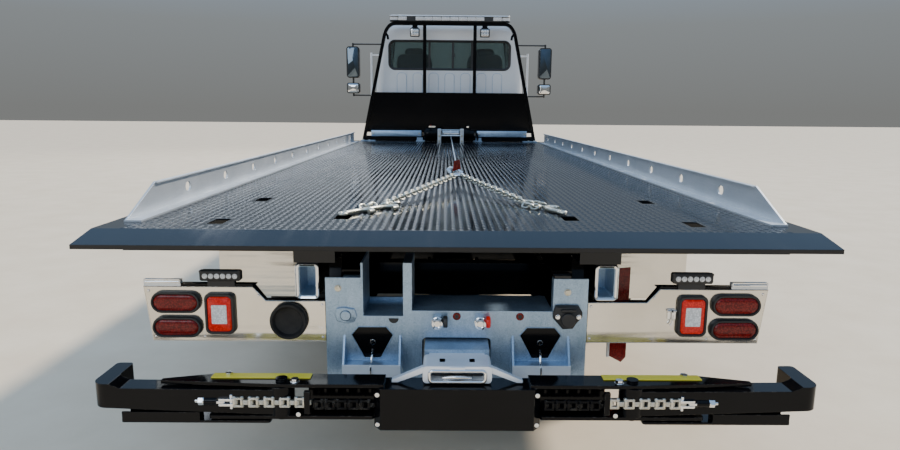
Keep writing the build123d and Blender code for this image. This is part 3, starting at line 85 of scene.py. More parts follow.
class Finish:
    """A material under construction."""

    def __init__(self, name):
        self.material = bpy.data.materials.new(name)
        self.material.use_nodes = True
        self.tree = self.material.node_tree
        self.tree.nodes.clear()
        self.spot = self.node("ShaderNodeTexCoord")["Object"]

    def node(self, kind, settings=None, values=None):
        made = self.tree.nodes.new(kind)
        for key, value in (settings or {}).items():
            setattr(made, key, value)
        for key, value in (values or {}).items():
            if isinstance(value, Socket):
                self.tree.links.new(value.socket, made.inputs[key])
            else:
                made.inputs[key].default_value = value
        return Placed(self, made)

    def stretched(self, scale):
        """The place on the piece, scaled for a pattern that runs one way."""
        return self.node("ShaderNodeMapping", None, {"Vector": self.spot, "Scale": scale})[0] if scale else self.spot

    def noise(self, scale, detail=3, rough=0.55, stretch=None, warp=0):
        return self.node("ShaderNodeTexNoise", None, {
            "Vector": self.stretched(stretch), "Scale": scale, "Detail": detail, "Roughness": rough,
            "Distortion": warp})["Fac"]

    def cells(self, scale, stretch=None):
        """Distance to the nearest of scattered points."""
        return self.node("ShaderNodeTexVoronoi", None, {"Vector": self.stretched(stretch), "Scale": scale})["Distance"]

    def spread(self, value, low, high, to_low=0.0, to_high=1.0):
        """The value taken from one range to another, and held inside it."""
        return self.node("ShaderNodeMapRange", {"clamp": True}, {
            "Value": value, "From Min": low, "From Max": high, "To Min": to_low, "To Max": to_high})[0]

    def mix(self, factor, first, second):
        """A colour between two, by a factor."""
        values = {0: factor}
        for slot, colour in ((6, first), (7, second)):
            values[slot] = colour if isinstance(colour, Socket) else (*colour, 1)
        return self.node("ShaderNodeMix", {"data_type": "RGBA"}, values)[2]

    def height(self):
        return self.node("ShaderNodeSeparateXYZ", None, {0: self.spot})[2]

    def rounded(self, radius):
        """The direction of the surface, with its edges softened."""
        return self.node("ShaderNodeBevel", {"samples": 4}, {"Radius": radius})[0]

    def edge(self, radius):
        """1 on a sharp edge, 0 on a flat face."""
        flat = self.node("ShaderNodeNewGeometry")["Normal"]
        soft = self.rounded(radius)
        same = self.node("ShaderNodeVectorMath", {"operation": "DOT_PRODUCT"}, {0: flat, 1: soft})["Value"]
        return self.spread(same, 0.995, 0.9, 0, 1)

    def bump(self, height, strength, distance, radius=0):
        """A grain in the surface, over edges softened to a radius."""
        values = {"Height": height, "Strength": strength, "Distance": distance}
        if radius:
            values["Normal"] = self.rounded(radius)
        return self.node("ShaderNodeBump", None, values)[0]

    def surface(self, **values):
        """The glossy surface itself, with its sockets named by words."""
        sockets = {}
        for key, value in values.items():
            name = key.replace("_", " ").title().replace("Ior", "IOR")
            if name in ("Base Color", "Emission Color") and not isinstance(value, Socket):
                value = (*value, 1)
            sockets[name] = value
        shader = self.node("ShaderNodeBsdfPrincipled", None, sockets)[0]
        self.node("ShaderNodeOutputMaterial", None, {"Surface": shader})
        return self.material


# radius that edges are softened to, and the wider one within which their paint is rubbed and, on the black paint, also
# lightened as a painted highlight, in metres
EDGE = 0.0025
RUBBED = 0.003


def painted(name, colour, dust, rough, coat, rubbed_and_highlit_edge_colour, rubbed_and_highlit_share, shine):
    """Gloss paint with orange peel, a film of dust that gathers low down, and rubbed edges, which on the black paint
    are pale partly from wear and partly as a painted highlight of edges catching the light.
    """
    f = Finish(name)
    patch = f.noise(1.7, 5, 0.6)
    film = f.spread(patch, 0.42, 0.75, 0, dust)
    low = f.spread(f.height(), 1.0, 0.35, 0, dust)
    grime = film + low * f.noise(9, 4)
    # rubbed edges: wear, and on the black paint also a painted highlight of edges catching the light
    worn = f.edge(RUBBED) * f.spread(f.noise(40, 3), 0.52, 0.62, 0, rubbed_and_highlit_share)
    base = f.mix(worn, f.mix(grime, colour, (0.36, 0.33, 0.28)), rubbed_and_highlit_edge_colour)
    peel = f.bump(f.noise(420, 2), 0.05, 0.0006, EDGE)
    return f.surface(base_color=base, roughness=rough + grime * 0.6 + worn * 0.3, normal=peel,
                     coat_weight=coat, coat_roughness=0.05, specular_ior_level=shine)


def deck_paint():
    """Blue-black deck enamel, scuffed along the way that cars are drawn up it."""
    f = Finish("deck_paint")
    drag = f.noise(3.5, 5, 0.65, (6.0, 0.35, 1.0))
    dust = f.spread(f.noise(2.2, 6, 0.65), 0.45, 0.8)
    worn = f.edge(RUBBED) * f.spread(f.noise(30, 3), 0.5, 0.62, 0, 0.3)
    base = f.mix(dust * 0.05 + f.spread(drag, 0.55, 0.8, 0, 0.03), (0.0016, 0.0028, 0.0055), (0.13, 0.135, 0.13))
    base = f.mix(worn, base, (0.10, 0.11, 0.12))
    peel = f.bump(f.noise(300, 2), 0.06, 0.0006, EDGE)
    return f.surface(base_color=base, roughness=0.07 + dust * 0.08 + f.spread(drag, 0.4, 0.75, 0, 0.08), normal=peel,
                     specular_ior_level=0.36)


def galvanised():
    """Hot-dip zinc: crystal spangle of many greys, a cloudy bloom and thin runs, in a blue that is partly the zinc's
    own and partly painted shade lit by the blue sky.
    """
    f = Finish("galvanised")
    warped = f.node("ShaderNodeVectorMath", {"operation": "ADD"}, {0: f.spot, 1: f.node("ShaderNodeTexNoise", None, {
        "Vector": f.spot, "Scale": 22.0, "Detail": 3.0})["Color"]})[0]
    cell = f.node("ShaderNodeTexVoronoi", None, {"Vector": warped, "Scale": 55.0})["Color"]
    shade = f.node("ShaderNodeSeparateColor", None, {0: cell})[0]
    cloud = f.noise(6, 6, 0.65, warp=0.4)
    runs = f.noise(18, 4, 0.6, (3.0, 3.0, 0.35))
    tone = shade * 0.35 + cloud * 0.55 + runs * 0.25
    # the blue of both colours is partly the zinc's own and partly painted shade lit by the blue sky
    base = f.mix(f.spread(tone, 0.3, 0.8), (0.20, 0.30, 0.43), (0.50, 0.64, 0.79))
    rough = f.spread(shade * 0.5 + cloud * 0.5, 0.25, 0.75, 0.3, 0.52)
    normal = f.bump(cloud * 0.6 + f.noise(160, 3) * 0.4, 0.12, 0.0012, EDGE)
    return f.surface(base_color=base, roughness=rough, metallic=0.75, normal=normal)


def stainless():
    """Bright rolled sheet with a fine crosswise brush and soft waviness, tinted warm tan partly as a painted reflection
    of the tan floor.
    """
    f = Finish("stainless")
    brush = f.noise(9, 3, 0.6, (4.0, 60.0, 90.0))
    smear = f.noise(3, 4, 0.6)
    roll = f.noise(2.2, 2, 0.5, (0.35, 1.0, 6.5))
    # the warm tan of both colours is partly a painted reflection of the tan floor
    base = f.mix(f.spread(smear, 0.3, 0.75), (0.64, 0.60, 0.53), (0.80, 0.765, 0.70))
    normal = f.bump(brush * 0.3 + f.noise(2.4, 2) * 5.0 + roll * 24.0, 0.16, 0.0012, 0.0015)
    return f.surface(base_color=base, roughness=0.13 + brush * 0.06 + f.spread(smear, 0.55, 0.8, 0, 0.12), metallic=1.0,
                     normal=normal)


def bright_zinc():
    """Fresh electroplated zinc, near white in the light."""
    f = Finish("bright_zinc")
    cloud = f.noise(9, 5, 0.6)
    base = f.mix(f.spread(cloud, 0.3, 0.75), (0.80, 0.84, 0.88), (0.95, 0.96, 0.97))
    return f.surface(base_color=base, roughness=0.3 + cloud * 0.16, metallic=0.25,
                     normal=f.bump(f.noise(120, 3), 0.1, 0.0008, EDGE))


def aluminium():
    """Extruded section: lines drawn lengthwise, dull patches and small rubs."""
    f = Finish("aluminium")
    lines = f.noise(14, 3, 0.6, (30.0, 0.5, 60.0))
    patch = f.noise(5, 5, 0.65)
    base = f.mix(f.spread(lines * 0.5 + patch * 0.5, 0.3, 0.7), (0.58, 0.62, 0.66), (0.80, 0.82, 0.84))
    normal = f.bump(lines, 0.12, 0.0006, 0.002)
    return f.surface(base_color=base, roughness=0.3 + lines * 0.14 + f.spread(patch, 0.5, 0.8, 0, 0.15), metallic=0.6,
                     normal=normal)


def chrome():
    """Bright plate with a faint haze."""
    f = Finish("chrome")
    haze = f.noise(30, 4, 0.6)
    base = f.mix(haze, (0.72, 0.73, 0.74), (0.88, 0.88, 0.88))
    return f.surface(base_color=base, roughness=0.06 + f.spread(haze, 0.55, 0.8, 0, 0.12), metallic=1.0,
                     normal=f.rounded(0.0015))


def tyre_rubber():
    """Black rubber, greyed in patches by road dust."""
    f = Finish("tyre_rubber")
    dust = f.spread(f.noise(11, 6, 0.7), 0.4, 0.8)
    base = f.mix(dust * 0.4, (0.006, 0.006, 0.007), (0.085, 0.078, 0.068))
    grain = f.noise(380, 2)
    return f.surface(base_color=base, roughness=0.62 + dust * 0.2,
                     normal=f.bump(grain, 0.25, 0.0006, 0.002), specular_ior_level=0.35)


def black_plastic():
    """Moulded plastic with a leather-like grain."""
    f = Finish("black_plastic")
    grain = f.cells(260)
    fade = f.noise(4, 4)
    base = f.mix(f.spread(fade, 0.35, 0.8), (0.012, 0.012, 0.013), (0.034, 0.033, 0.032))
    return f.surface(base_color=base, roughness=0.46 + fade * 0.12, normal=f.bump(grain, 0.18, 0.0008, EDGE))


def grey_trim():
    """Cab lining and seats: dark knitted cloth."""
    f = Finish("grey_trim")
    knit = f.cells(420)
    shade = f.noise(7, 4)
    base = f.mix(f.spread(shade, 0.3, 0.75), (0.016, 0.016, 0.018), (0.034, 0.033, 0.032))
    return f.surface(base_color=base, roughness=0.85, normal=f.bump(knit, 0.4, 0.001, 0.004),
                     sheen_weight=0.25)


def glass():
    """Tinted cab glass with a thin veil of dust."""
    f = Finish("glass")
    veil = f.spread(f.noise(8, 5, 0.65), 0.45, 0.8)
    base = f.mix(veil * 0.12, (0.40, 0.50, 0.50), (0.4, 0.42, 0.4))
    return f.surface(base_color=base, roughness=0.015 + veil * 0.03, transmission_weight=0.96, ior=1.38)


def lens(name, deep, bright, glow):
    """Moulded lamp lens: rows of small prisms under a smooth face, with a faint glow that is painted sunlight, since
    the lamp is not lit.
    """
    f = Finish(name)
    prism = f.cells(150, (1.0, 0.3, 1.0))
    shade = f.noise(26, 3)
    base = f.mix(f.spread(prism * 0.9 + shade * 0.3, 0.1, 0.75), bright, deep)
    return f.surface(base_color=base, roughness=0.12 + shade * 0.1, normal=f.bump(prism, 0.35, 0.0015, 0.003),
                     coat_weight=0.12, coat_roughness=0.05, specular_ior_level=0.25, emission_color=bright,
                     emission_strength=glow)


def mirror_glass():
    """Silvered glass painted dark blue as a painted reflection of what it shows at the angle it is seen from, with
    wiped dust.
    """
    f = Finish("mirror_glass")
    haze = f.spread(f.noise(14, 4, 0.6), 0.45, 0.8)
    # the dark blue is a painted reflection, not the silvering's own colour
    base = f.mix(haze * 0.15, (0.10, 0.13, 0.16), (0.3, 0.3, 0.3))
    return f.surface(base_color=base, roughness=0.03 + haze * 0.1, metallic=1.0)


def chain_steel():
    """Yellow-passivated zinc on drop-forged steel, rubbed bright on the high parts."""
    f = Finish("chain_steel")
    tint = f.noise(60, 4, 0.6)
    worn = f.edge(EDGE)
    base = f.mix(f.spread(tint, 0.3, 0.75), (0.50, 0.46, 0.33), (0.80, 0.78, 0.70))
    base = f.mix(worn * 0.7, base, (0.8, 0.8, 0.78))
    return f.surface(base_color=base, roughness=0.3 + tint * 0.14, metallic=0.9,
                     normal=f.bump(f.noise(190, 3), 0.12, 0.0008, 0.002))


def floor_finish():
    """Pale, slightly flecked studio floor."""
    f = Finish("pale_floor")
    fleck = f.noise(2.2, 6, 0.6)
    base = f.mix(f.spread(fleck, 0.3, 0.75), (0.74, 0.60, 0.43), (0.84, 0.70, 0.52))
    return f.surface(base_color=base, roughness=0.8, normal=f.bump(f.noise(90, 3), 0.05, 0.002))


# colour, dust, roughness, coat, colour of rubbed edges, wear and shine of each gloss paint; the black paint's pale tan
# edges are partly wear and partly a painted highlight of edges catching the light
PAINTS = {
    "black_paint": ((0.0014, 0.0015, 0.0024), 0.006, 0.1, 0.0, (0.20, 0.18, 0.15), 0.45, 0.16),
    "white_paint": ((0.83, 0.84, 0.85), 0.10, 0.2, 0.5, (0.6, 0.6, 0.6), 0.1, 0.5),
    "yellow_paint": ((1.0, 0.80, 0.05), 0.03, 0.4, 0.0, (0.8, 0.6, 0.15), 0.25, 0.5),
}
# colour deep in each lens, colour on its prisms, and its glow, which is painted sunlight on lamps that are not lit
LENSES = {
    "red_lens": ((0.10, 0.004, 0.004), (0.30, 0.016, 0.012), 0.02),
    "bright_red_lens": ((0.42, 0.008, 0.006), (0.80, 0.035, 0.02), 0.16),
    "amber_lens": ((0.35, 0.10, 0.004), (0.85, 0.34, 0.02), 0.06),
    "clear_lens": ((0.46, 0.47, 0.48), (0.86, 0.87, 0.88), 0.12),
}
FINISHES = {make.__name__: make() for make in (
    deck_paint, galvanised, bright_zinc, stainless, aluminium, chrome, tyre_rubber, black_plastic, grey_trim, glass,
    mirror_glass, chain_steel)}
FINISHES.update({name: painted(name, *values) for name, values in PAINTS.items()})
FINISHES.update({name: lens(name, *values) for name, values in LENSES.items()})


def dress(name, finish):
    """Gives a node of the frame one finish all over."""
    node = nodes[name]
    for slot in node.material_slots:
        slot.material = FINISHES[finish]
    if not node.material_slots:
        node.data.materials.append(FINISHES[finish])


# finish of each node of the frame
WORN_BY = {
    "white_paint": "cab_shell hood door_right door_left",
    "black_paint": "frame_rails front_axle rear_axle leaf_springs headboard tilt_frame crossbar claw_right claw_left "
                   "tie_rod knuckle_right knuckle_left",
    "deck_paint": "bed_deck",
    "galvanised": "rear_plate lift_boom",
    "bright_zinc": "stinger",
    "stainless": "lamp_bars wheel_guards",
    "aluminium": "side_rails fuel_tanks tool_boxes box_door_right box_door_left exhaust rear_rim_right rear_rim_left "
                 "front_rim_right front_rim_left engine_block",
    "chrome": "bumper lift_rods grille",
    "tyre_rubber": "front_tyre_right front_tyre_left rear_tyre_right rear_tyre_left",
    "black_plastic": "mirrors rear_fittings light_bar winch lift_barrels",
    "grey_trim": "cab_interior",
    "glass": "cab_glass door_glass_right door_glass_left",
    "red_lens": "tail_lamps",
    "clear_lens": "headlamps",
    "chain_steel": "bridle tow_cable",
}
for finish, names in WORN_BY.items():
    for name in names.split():
        dress(name, finish)


# Shapes, in millimetres across, forward from the tail, and up. SHARP is the angle in degrees that stays an edge.
SHARP = 38
AXES = {"x": lambda u, v, w: (w, u, v), "s": lambda u, v, w: (u, w, v), "z": lambda u, v, w: (u, v, w)}
SIDES = (("right", 1), ("left", -1))


def circle(r, sides, centre=(0, 0), start=0.0, sweep=360.0):
    """Points round a circle, or along an arc with both its ends, in degrees."""
    count = sides if sweep == 360 else sides + 1
    turns = [math.radians(start + sweep * step / sides) for step in range(count)]
    return [(centre[0] + r * math.cos(turn), centre[1] + r * math.sin(turn)) for turn in turns]


def slot_outline(wide, tall, centre=(0, 0), sides=10):
    """A round-ended slot that is longer across than up."""
    reach = (wide - tall) / 2
    ends = circle(tall / 2, sides, (centre[0] + reach, centre[1]), -90, 180)
    return ends + circle(tall / 2, sides, (centre[0] - reach, centre[1]), 90, 180)


def round_box(wide, tall, r, centre=(0, 0), sides=5):
    """A box with round corners."""
    points = []
    for corner, (u, v) in enumerate(((1, 1), (-1, 1), (-1, -1), (1, -1))):
        middle = (centre[0] + u * (wide / 2 - r), centre[1] + v * (tall / 2 - r))
        points += circle(r, sides, middle, corner * 90, 90)
    return points


def blend(first, second, part):
    """The outline that lies part of the way from one to another."""
    return [(a + (c - a) * part, b + (d - b) * part) for (a, b), (c, d) in zip(first, second)]


def shifted(outline, centre, scale=1.0):
    """The outline at its place, scaled about its own middle."""
    return [(centre[0] + u * scale, centre[1] + v * scale) for u, v in outline]


def bent(points, radius, steps=6):
    """Rounds the corners of a line with short arcs."""
    line = [points[0]]
    for before, corner, after in zip(points, points[1:], points[2:]):
        c = Vector(corner)
        back, on = Vector(before) - c, Vector(after) - c
        reach = min(radius, back.length / 2, on.length / 2)
        for step in range(steps + 1):
            t = step / steps
            spot = (c + back.normalized() * reach) * (1 - t) ** 2 + c * 2 * t * (1 - t)
            line.append(tuple(spot + (c + on.normalized() * reach) * t ** 2))
    return line + [points[-1]]


def behind(face, *rows):
    """Rows of a profile whose last number is how far they stand out behind a face of the truck."""
    return [(*row[:-1], face - row[-1]) for row in rows]


def sideways(side, *rows):
    """Rows of a profile whose last number is the distance from the truck's middle."""
    return [(*row[:-1], side * row[-1]) for row in rows]


class Shape:
    """A mesh that grows from plain forms; faces take the finish in use."""

    def __init__(self, finish):
        self.mesh = bmesh.new()
        self.finishes = []
        self.use(finish)

    def use(self, finish):
        if finish not in self.finishes:
            self.finishes.append(finish)
        self.current = self.finishes.index(finish)
        return self

    def faces(self, points, rings):
        made = [self.mesh.verts.new(point) for point in points]
        for ring in rings:
            face = self.mesh.faces.new([made[index] for index in ring])
            face.material_index = self.current

    def loops(self, rings, close=True):
        """Skins a list of point rings of one length; an open run has both its ends capped."""
        count = len(rings[0])
        points = [point for ring in rings for point in ring]
        quads = []
        for row in range(len(rings) if close else len(rings) - 1):
            here, after = row * count, (row + 1) % len(rings) * count
            for index in range(count):
                beside = (index + 1) % count
                quads.append((here + index, here + beside, after + beside, after + index))
        if not close:
            last = (len(rings) - 1) * count
            quads += [tuple(range(count))[::-1], tuple(range(last, last + count))]
        self.faces(points, quads)
        return self

    def layers(self, axis, rows, close=False):
        """Skins outlines along an axis; each row is an outline and its place along."""
        put = AXES[axis]
        return self.loops([[put(u, v, w) for u, v in outline] for outline, w in rows], close)

    def prism(self, axis, outline, low, high):
        """An outline drawn out along an axis."""
        return self.layers(axis, [(outline, low), (outline, high)])

    def block(self, x, s, z):
        """A box between pairs of places across, along and up."""
        return self.prism("z", [(x[0], s[0]), (x[1], s[0]), (x[1], s[1]), (x[0], s[1])], *z)

    def pads(self, axis, centre, rows, sides=5, close=False):
        """Skins round-cornered boxes; each row is width, height, corner radius and place along."""
        return self.layers(axis, [(round_box(wide, tall, r, centre, sides), w) for wide, tall, r, w in rows], close)

    def slots(self, axis, centre, rows, sides=10):
        """Skins round-ended slots; each row is width, height and place along."""
        return self.layers(axis, [(slot_outline(wide, tall, centre, sides), w) for wide, tall, w in rows])

    def lathe(self, axis, rows, centre, sides=32, close=False):
        """Turns a profile round an axis; each row is a radius and its place along. A closed one is a ring."""
        return self.layers(axis, [(circle(r, sides, centre), w) for r, w in rows], close)

    def rod(self, axis, r, centre, span, sides=24, chamfer=0.0):
        """A round bar along an axis, with chamfered ends if asked."""
        low, high = span
        rows = [(r, low + chamfer), (r, high - chamfer)]
        if chamfer:
            rows = [(r - chamfer, low), *rows, (r - chamfer, high)]
        return self.lathe(axis, rows, centre, sides)

    def hex_bolt(self, axis, across, tall, centre, base, outward):
        """A hexagon head on its washer, standing outward from a face."""
        seat = base + outward * 1.5
        self.rod(axis, across / 2 * 1.6 / 1.15, centre, sorted((base, seat)), 20)
        return self.rod(axis, across / 1.732, centre, sorted((seat, seat + outward * tall)), 6)

    def pipe(self, points, r, sides=10, close=False):
        """A round bar that follows points."""
        line = [Vector(point) for point in points]
        count = len(line)
        rings = []
        side = None
        for index, spot in enumerate(line):
            ahead = line[(index + 1) % count] - spot if close or index < count - 1 else Vector()
            back = spot - line[index - 1] if close or index > 0 else Vector()
            way = (ahead.normalized() + back.normalized()).normalized()
            if side is None:
                side = way.orthogonal().normalized()
            side = (side - way * side.dot(way)).normalized()
            up = way.cross(side)
            rings.append([spot + side * u + up * v for u, v in circle(r, sides)])
        return self.loops(rings, close)

    def strap(self, axis, line, half, low, high):
        """A flat or square bar bent along a line in one plane, mitred at its corners."""
        put = AXES[axis]
        rings = []
        for index, spot in enumerate(line):
            here = Vector(spot)
            before, after = Vector(line[max(index - 1, 0)]), Vector(line[min(index + 1, len(line) - 1)])
            ways = [way.normalized() for way in (here - before, after - here) if way.length > 0]
            normals = [Vector((-way.y, way.x)) for way in ways]
            out = sum(normals, Vector((0, 0))).normalized()
            out *= half / max(0.4, out.dot(normals[0]))
            a, b = here + out, here - out
            rings.append([put(a.x, a.y, low), put(b.x, b.y, low), put(b.x, b.y, high), put(a.x, a.y, high)])
        return self.loops(rings, False)

    def mirrored(self):
        """Adds the other side's copy."""
        whole = self.mesh.verts[:] + self.mesh.edges[:] + self.mesh.faces[:]
        for item in bmesh.ops.duplicate(self.mesh, geom=whole)["geom"]:
            if isinstance(item, bmesh.types.BMVert):
                item.co.x = -item.co.x
        return self

    def bare(self, sharp=SHARP, origin=(0, 0, 0), turned=True):
        """Ends the shape as a mesh in metres, with its faces turned outward; a sharp of 0 leaves it flat."""
        if turned:
            bmesh.ops.recalc_face_normals(self.mesh, faces=self.mesh.faces[:])
        mesh = bpy.data.meshes.new("shape")
        self.mesh.to_mesh(mesh)
        self.mesh.free()
        mesh.transform(Matrix.Scale(0.001, 4) @ Matrix.Translation(origin))
        return smoothed(mesh, sharp)

    def made(self, name, body, smooth=SHARP, soften=0.0, replaces=(), slot=None):
        """Ends the shape as a piece that rides on a body."""
        mesh = self.bare(0, (0, -TAIL, 0))
        for finish in self.finishes:
            mesh.materials.append(FINISHES[finish])
        return settle(mesh, name, body, slot or self.finishes[0], smooth, soften, replaces)


def smoothed(mesh, angle):
    """Shades a mesh smooth, apart from edges sharper than an angle."""
    if angle:
        mesh.shade_smooth()
        mesh.set_sharp_from_angle(angle=math.radians(angle))
    return mesh


def settle(mesh, name, body, slot, smooth=SHARP, soften=0.0, replaces=()):
    """Puts a finished mesh in the scene as a piece on a body."""
    mesh.name = name
    piece = bpy.data.objects.new(name, smoothed(mesh, smooth))
    bpy.context.scene.collection.objects.link(piece)
    if soften:
        bevel = piece.modifiers.new("soft edge", "BEVEL")
        bevel.width = soften / 1000
        bevel.segments = 2
        bevel.limit_method = "ANGLE"
        bevel.angle_limit = math.radians(35)
    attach(piece, body)
    if replaces:
        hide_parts(*replaces)
    return piece


# Geometry trees for what repeats
class Growth:
    """A geometry tree with named inputs, and the link between its nodes."""

    SOCKETS = {float: "NodeSocketFloat", int: "NodeSocketInt", tuple: "NodeSocketVector", str: "NodeSocketObject"}

    def __init__(self, name, sizes):
        self.group = bpy.data.node_groups.new(name, "GeometryNodeTree")
        face = self.group.interface
        face.new_socket("Geometry", in_out="OUTPUT", socket_type="NodeSocketGeometry")
        face.new_socket("Points", in_out="INPUT", socket_type="NodeSocketGeometry")
        face.new_socket("Finish", in_out="INPUT", socket_type="NodeSocketMaterial")
        for key, value in sizes.items():
            made = face.new_socket(key, in_out="INPUT", socket_type=self.SOCKETS[type(value)])
            if not isinstance(value, str):
                made.default_value = value
        self.start = self.group.nodes.new("NodeGroupInput")
        self.end = self.group.nodes.new("NodeGroupOutput")

    def size(self, name):
        return self.start.outputs[name]

    def node(self, kind, settings=None, values=None):
        made = self.group.nodes.new(kind)
        for key, value in (settings or {}).items():
            setattr(made, key, value)
        for key, value in (values or {}).items():
            if isinstance(value, bpy.types.NodeSocket):
                self.group.links.new(value, made.inputs[key])
            else:
                made.inputs[key].default_value = value
        return made.outputs

    def math(self, operation, *values):
        return self.node("ShaderNodeMath", {"operation": operation}, dict(enumerate(values)))[0]

    def lay(self, points, turn):
        """The small piece on every point."""
        piece = self.node("GeometryNodeObjectInfo", None, {"Object": self.size("Piece")})["Geometry"]
        return self.node("GeometryNodeInstanceOnPoints", None, {
            "Points": points, "Instance": piece, "Rotation": turn})[0]

    def finish(self, geometry):
        """Realizes the instances and gives them their finish."""
        real = self.node("GeometryNodeRealizeInstances", None, {0: geometry})[0]
        coated = self.node("GeometryNodeSetMaterial", None, {"Geometry": real, "Material": self.size("Finish")})[0]
        self.group.links.new(coated, self.end.inputs[0])
        return self

    def grow(self, name, body, finish, points=None, sizes=None, piece=None, smooth=SHARP, replaces=(), slot=None):
        """Runs the tree, and ends its result as a plain piece on a body."""
        holder = bpy.data.objects.new("holder", points or bpy.data.meshes.new("none"))
        bpy.context.scene.collection.objects.link(holder)
        values = {"Finish": FINISHES[finish], **(sizes or {})}
        if piece:
            values["Piece"] = bpy.data.objects.new("piece", piece)
            bpy.context.scene.collection.objects.link(values["Piece"])
        tree = holder.modifiers.new("grow", "NODES")
        tree.node_group = self.group
        for item in self.group.interface.items_tree:
            if item.in_out == "INPUT" and item.name in values:
                tree[item.identifier] = values[item.name]
        bpy.context.view_layer.update()
        graph = bpy.context.evaluated_depsgraph_get()
        mesh = bpy.data.meshes.new_from_object(holder.evaluated_get(graph), depsgraph=graph)
        holder.modifiers.remove(tree)
        bpy.data.objects.remove(holder)
        if piece:
            bpy.data.objects.remove(values["Piece"])
        if "turn" in mesh.attributes:
            mesh.attributes.remove(mesh.attributes["turn"])
        return settle(mesh, name, body, slot or finish, smooth, 0, replaces)


# pitch of the deck's lugs, how many stand across and along it, and the station of the first
LUG_PITCH = 28.6
LUG_COLUMNS, LUG_ROWS = 84, 229
LUG_START = 150


def tread_growth():
    """Rows of raised lugs, each turned a quarter from the next."""
    tree = Growth("tread lugs", {"Piece": "", "Pitch": LUG_PITCH / 1000, "Columns": LUG_COLUMNS, "Rows": LUG_ROWS,
                                 "Centre": (0.0, 0.0, 0.0)})
    pitch = tree.size("Pitch")
    wide = tree.math("MULTIPLY", tree.math("SUBTRACT", tree.size("Columns"), 1), pitch)
    long = tree.math("MULTIPLY", tree.math("SUBTRACT", tree.size("Rows"), 1), pitch)
    grid = tree.node("GeometryNodeMeshGrid", None, {
        "Size X": wide, "Size Y": long, "Vertices X": tree.size("Columns"), "Vertices Y": tree.size("Rows")})[0]
    spots = tree.node("GeometryNodeTransform", None, {"Geometry": grid, "Translation": tree.size("Centre")})[0]
    index = tree.node("GeometryNodeInputIndex")[0]
    column = tree.math("FLOOR", tree.math("DIVIDE", index, tree.size("Rows")))
    row = tree.math("MODULO", index, tree.size("Rows"))
    odd = tree.math("MODULO", tree.math("ADD", column, row), 2)
    turn = tree.node("ShaderNodeCombineXYZ", None, {2: tree.math("MULTIPLY_ADD", odd, math.pi / 2, math.pi / 4)})[0]
    keep = tree.node("GeometryNodeDeleteGeometry", {"domain": "POINT"}, {
        "Geometry": spots, "Selection": open_slots(tree)})[0]
    return tree.finish(tree.lay(keep, turn))


# across and station of each key slot's middle, on both sides, and half the room that is kept free round it
KEY_SLOTS = [(450, 420), (900, 300), (900, 900), (450, 5900)]
KEY_ROOM = (0.043, 0.068)


def open_slots(tree):
    """True on the points that lie over a key slot of the deck."""
    spot = tree.node("GeometryNodeInputPosition")[0]
    parts = tree.node("ShaderNodeSeparateXYZ", None, {0: spot})
    places = (tree.math("ABSOLUTE", parts[0]), parts[1])
    hit = None
    for x, s in KEY_SLOTS:
        near = [tree.math("LESS_THAN", tree.math("ABSOLUTE", tree.math("SUBTRACT", here, middle)), room)
                for here, middle, room in zip(places, place(x, s, 0), KEY_ROOM)]
        both = tree.math("MULTIPLY", *near)
        hit = tree.math("MAXIMUM", hit, both) if hit else both
    return hit


def points_growth():
    """One small piece on every point, turned by the point's own value."""
    tree = Growth("pieces on points", {"Piece": ""})
    turn = tree.node("GeometryNodeInputNamedAttribute", {"data_type": "FLOAT_VECTOR"}, {"Name": "turn"})[0]
    return tree.finish(tree.lay(tree.size("Points"), turn))


def ring_growth():
    """Pieces spaced evenly round a wheel's axis."""
    tree = Growth("pieces round an axis", {"Piece": "", "Count": 10, "Radius": 0.1, "Centre": (0.0, 0.0, 0.0)})
    ring = tree.node("GeometryNodeMeshCircle", None, {"Vertices": tree.size("Count"), "Radius": tree.size("Radius")})[0]
    index = tree.node("GeometryNodeInputIndex")[0]
    turn = tree.math("DIVIDE", tree.math("MULTIPLY", index, math.tau), tree.size("Count"))
    spin = tree.node("ShaderNodeCombineXYZ", None, {2: turn})[0]
    # the ring lies flat and is stood up to face along the axle
    return tree.finish(tree.node("GeometryNodeTransform", None, {
        "Geometry": tree.lay(ring, spin), "Rotation": (math.pi / 2, 0, math.pi / 2),
        "Translation": tree.size("Centre")})[0])


def spots_mesh(spots, turns=()):
    """Bare points, with the turn of what stands on each."""
    mesh = bpy.data.meshes.new("spots")
    mesh.from_pydata([place(*spot) for spot in spots], [], [])
    layer = mesh.attributes.new("turn", "FLOAT_VECTOR", "POINT")
    for point, turn in zip(layer.data, turns):
        point.vector = turn
    return mesh


TREAD = tread_growth()
ON_POINTS = points_growth()
ROUND_AXLE = ring_growth()


# Deck
def tread_lug():
    """A low lens-shaped lug, longer than wide, open beneath where it joins the plate."""
    shape = Shape("deck_paint")
    long, wide, tall = 13.5, 3.4, 1.6
    base = [(-long, 0, 0), (-long / 2, -wide, 0), (long / 2, -wide, 0), (long, 0, 0), (long / 2, wide, 0),
            (-long / 2, wide, 0)]
    top = [(-long / 2, 0, tall), (long / 2, 0, tall)]
    shape.faces(base + top, [(0, 1, 6), (1, 2, 7, 6), (2, 3, 7), (3, 4, 7), (4, 5, 6, 7), (5, 0, 6)])
    mesh = shape.bare(0, turned=False)
    mesh.shade_smooth()
    return mesh


def deck_tread():
    """Raised lugs over the whole plate, apart from its key slots."""
    middle = place(0, LUG_START + (LUG_ROWS - 1) * LUG_PITCH / 2, DECK)
    TREAD.grow("deck_tread", "bed", "deck_paint", sizes={"Centre": tuple(middle)}, piece=tread_lug(), smooth=0,
               slot="black_paint")


# Rear end. PLATE is the station of the rear plate's outer face.
PLATE = 200


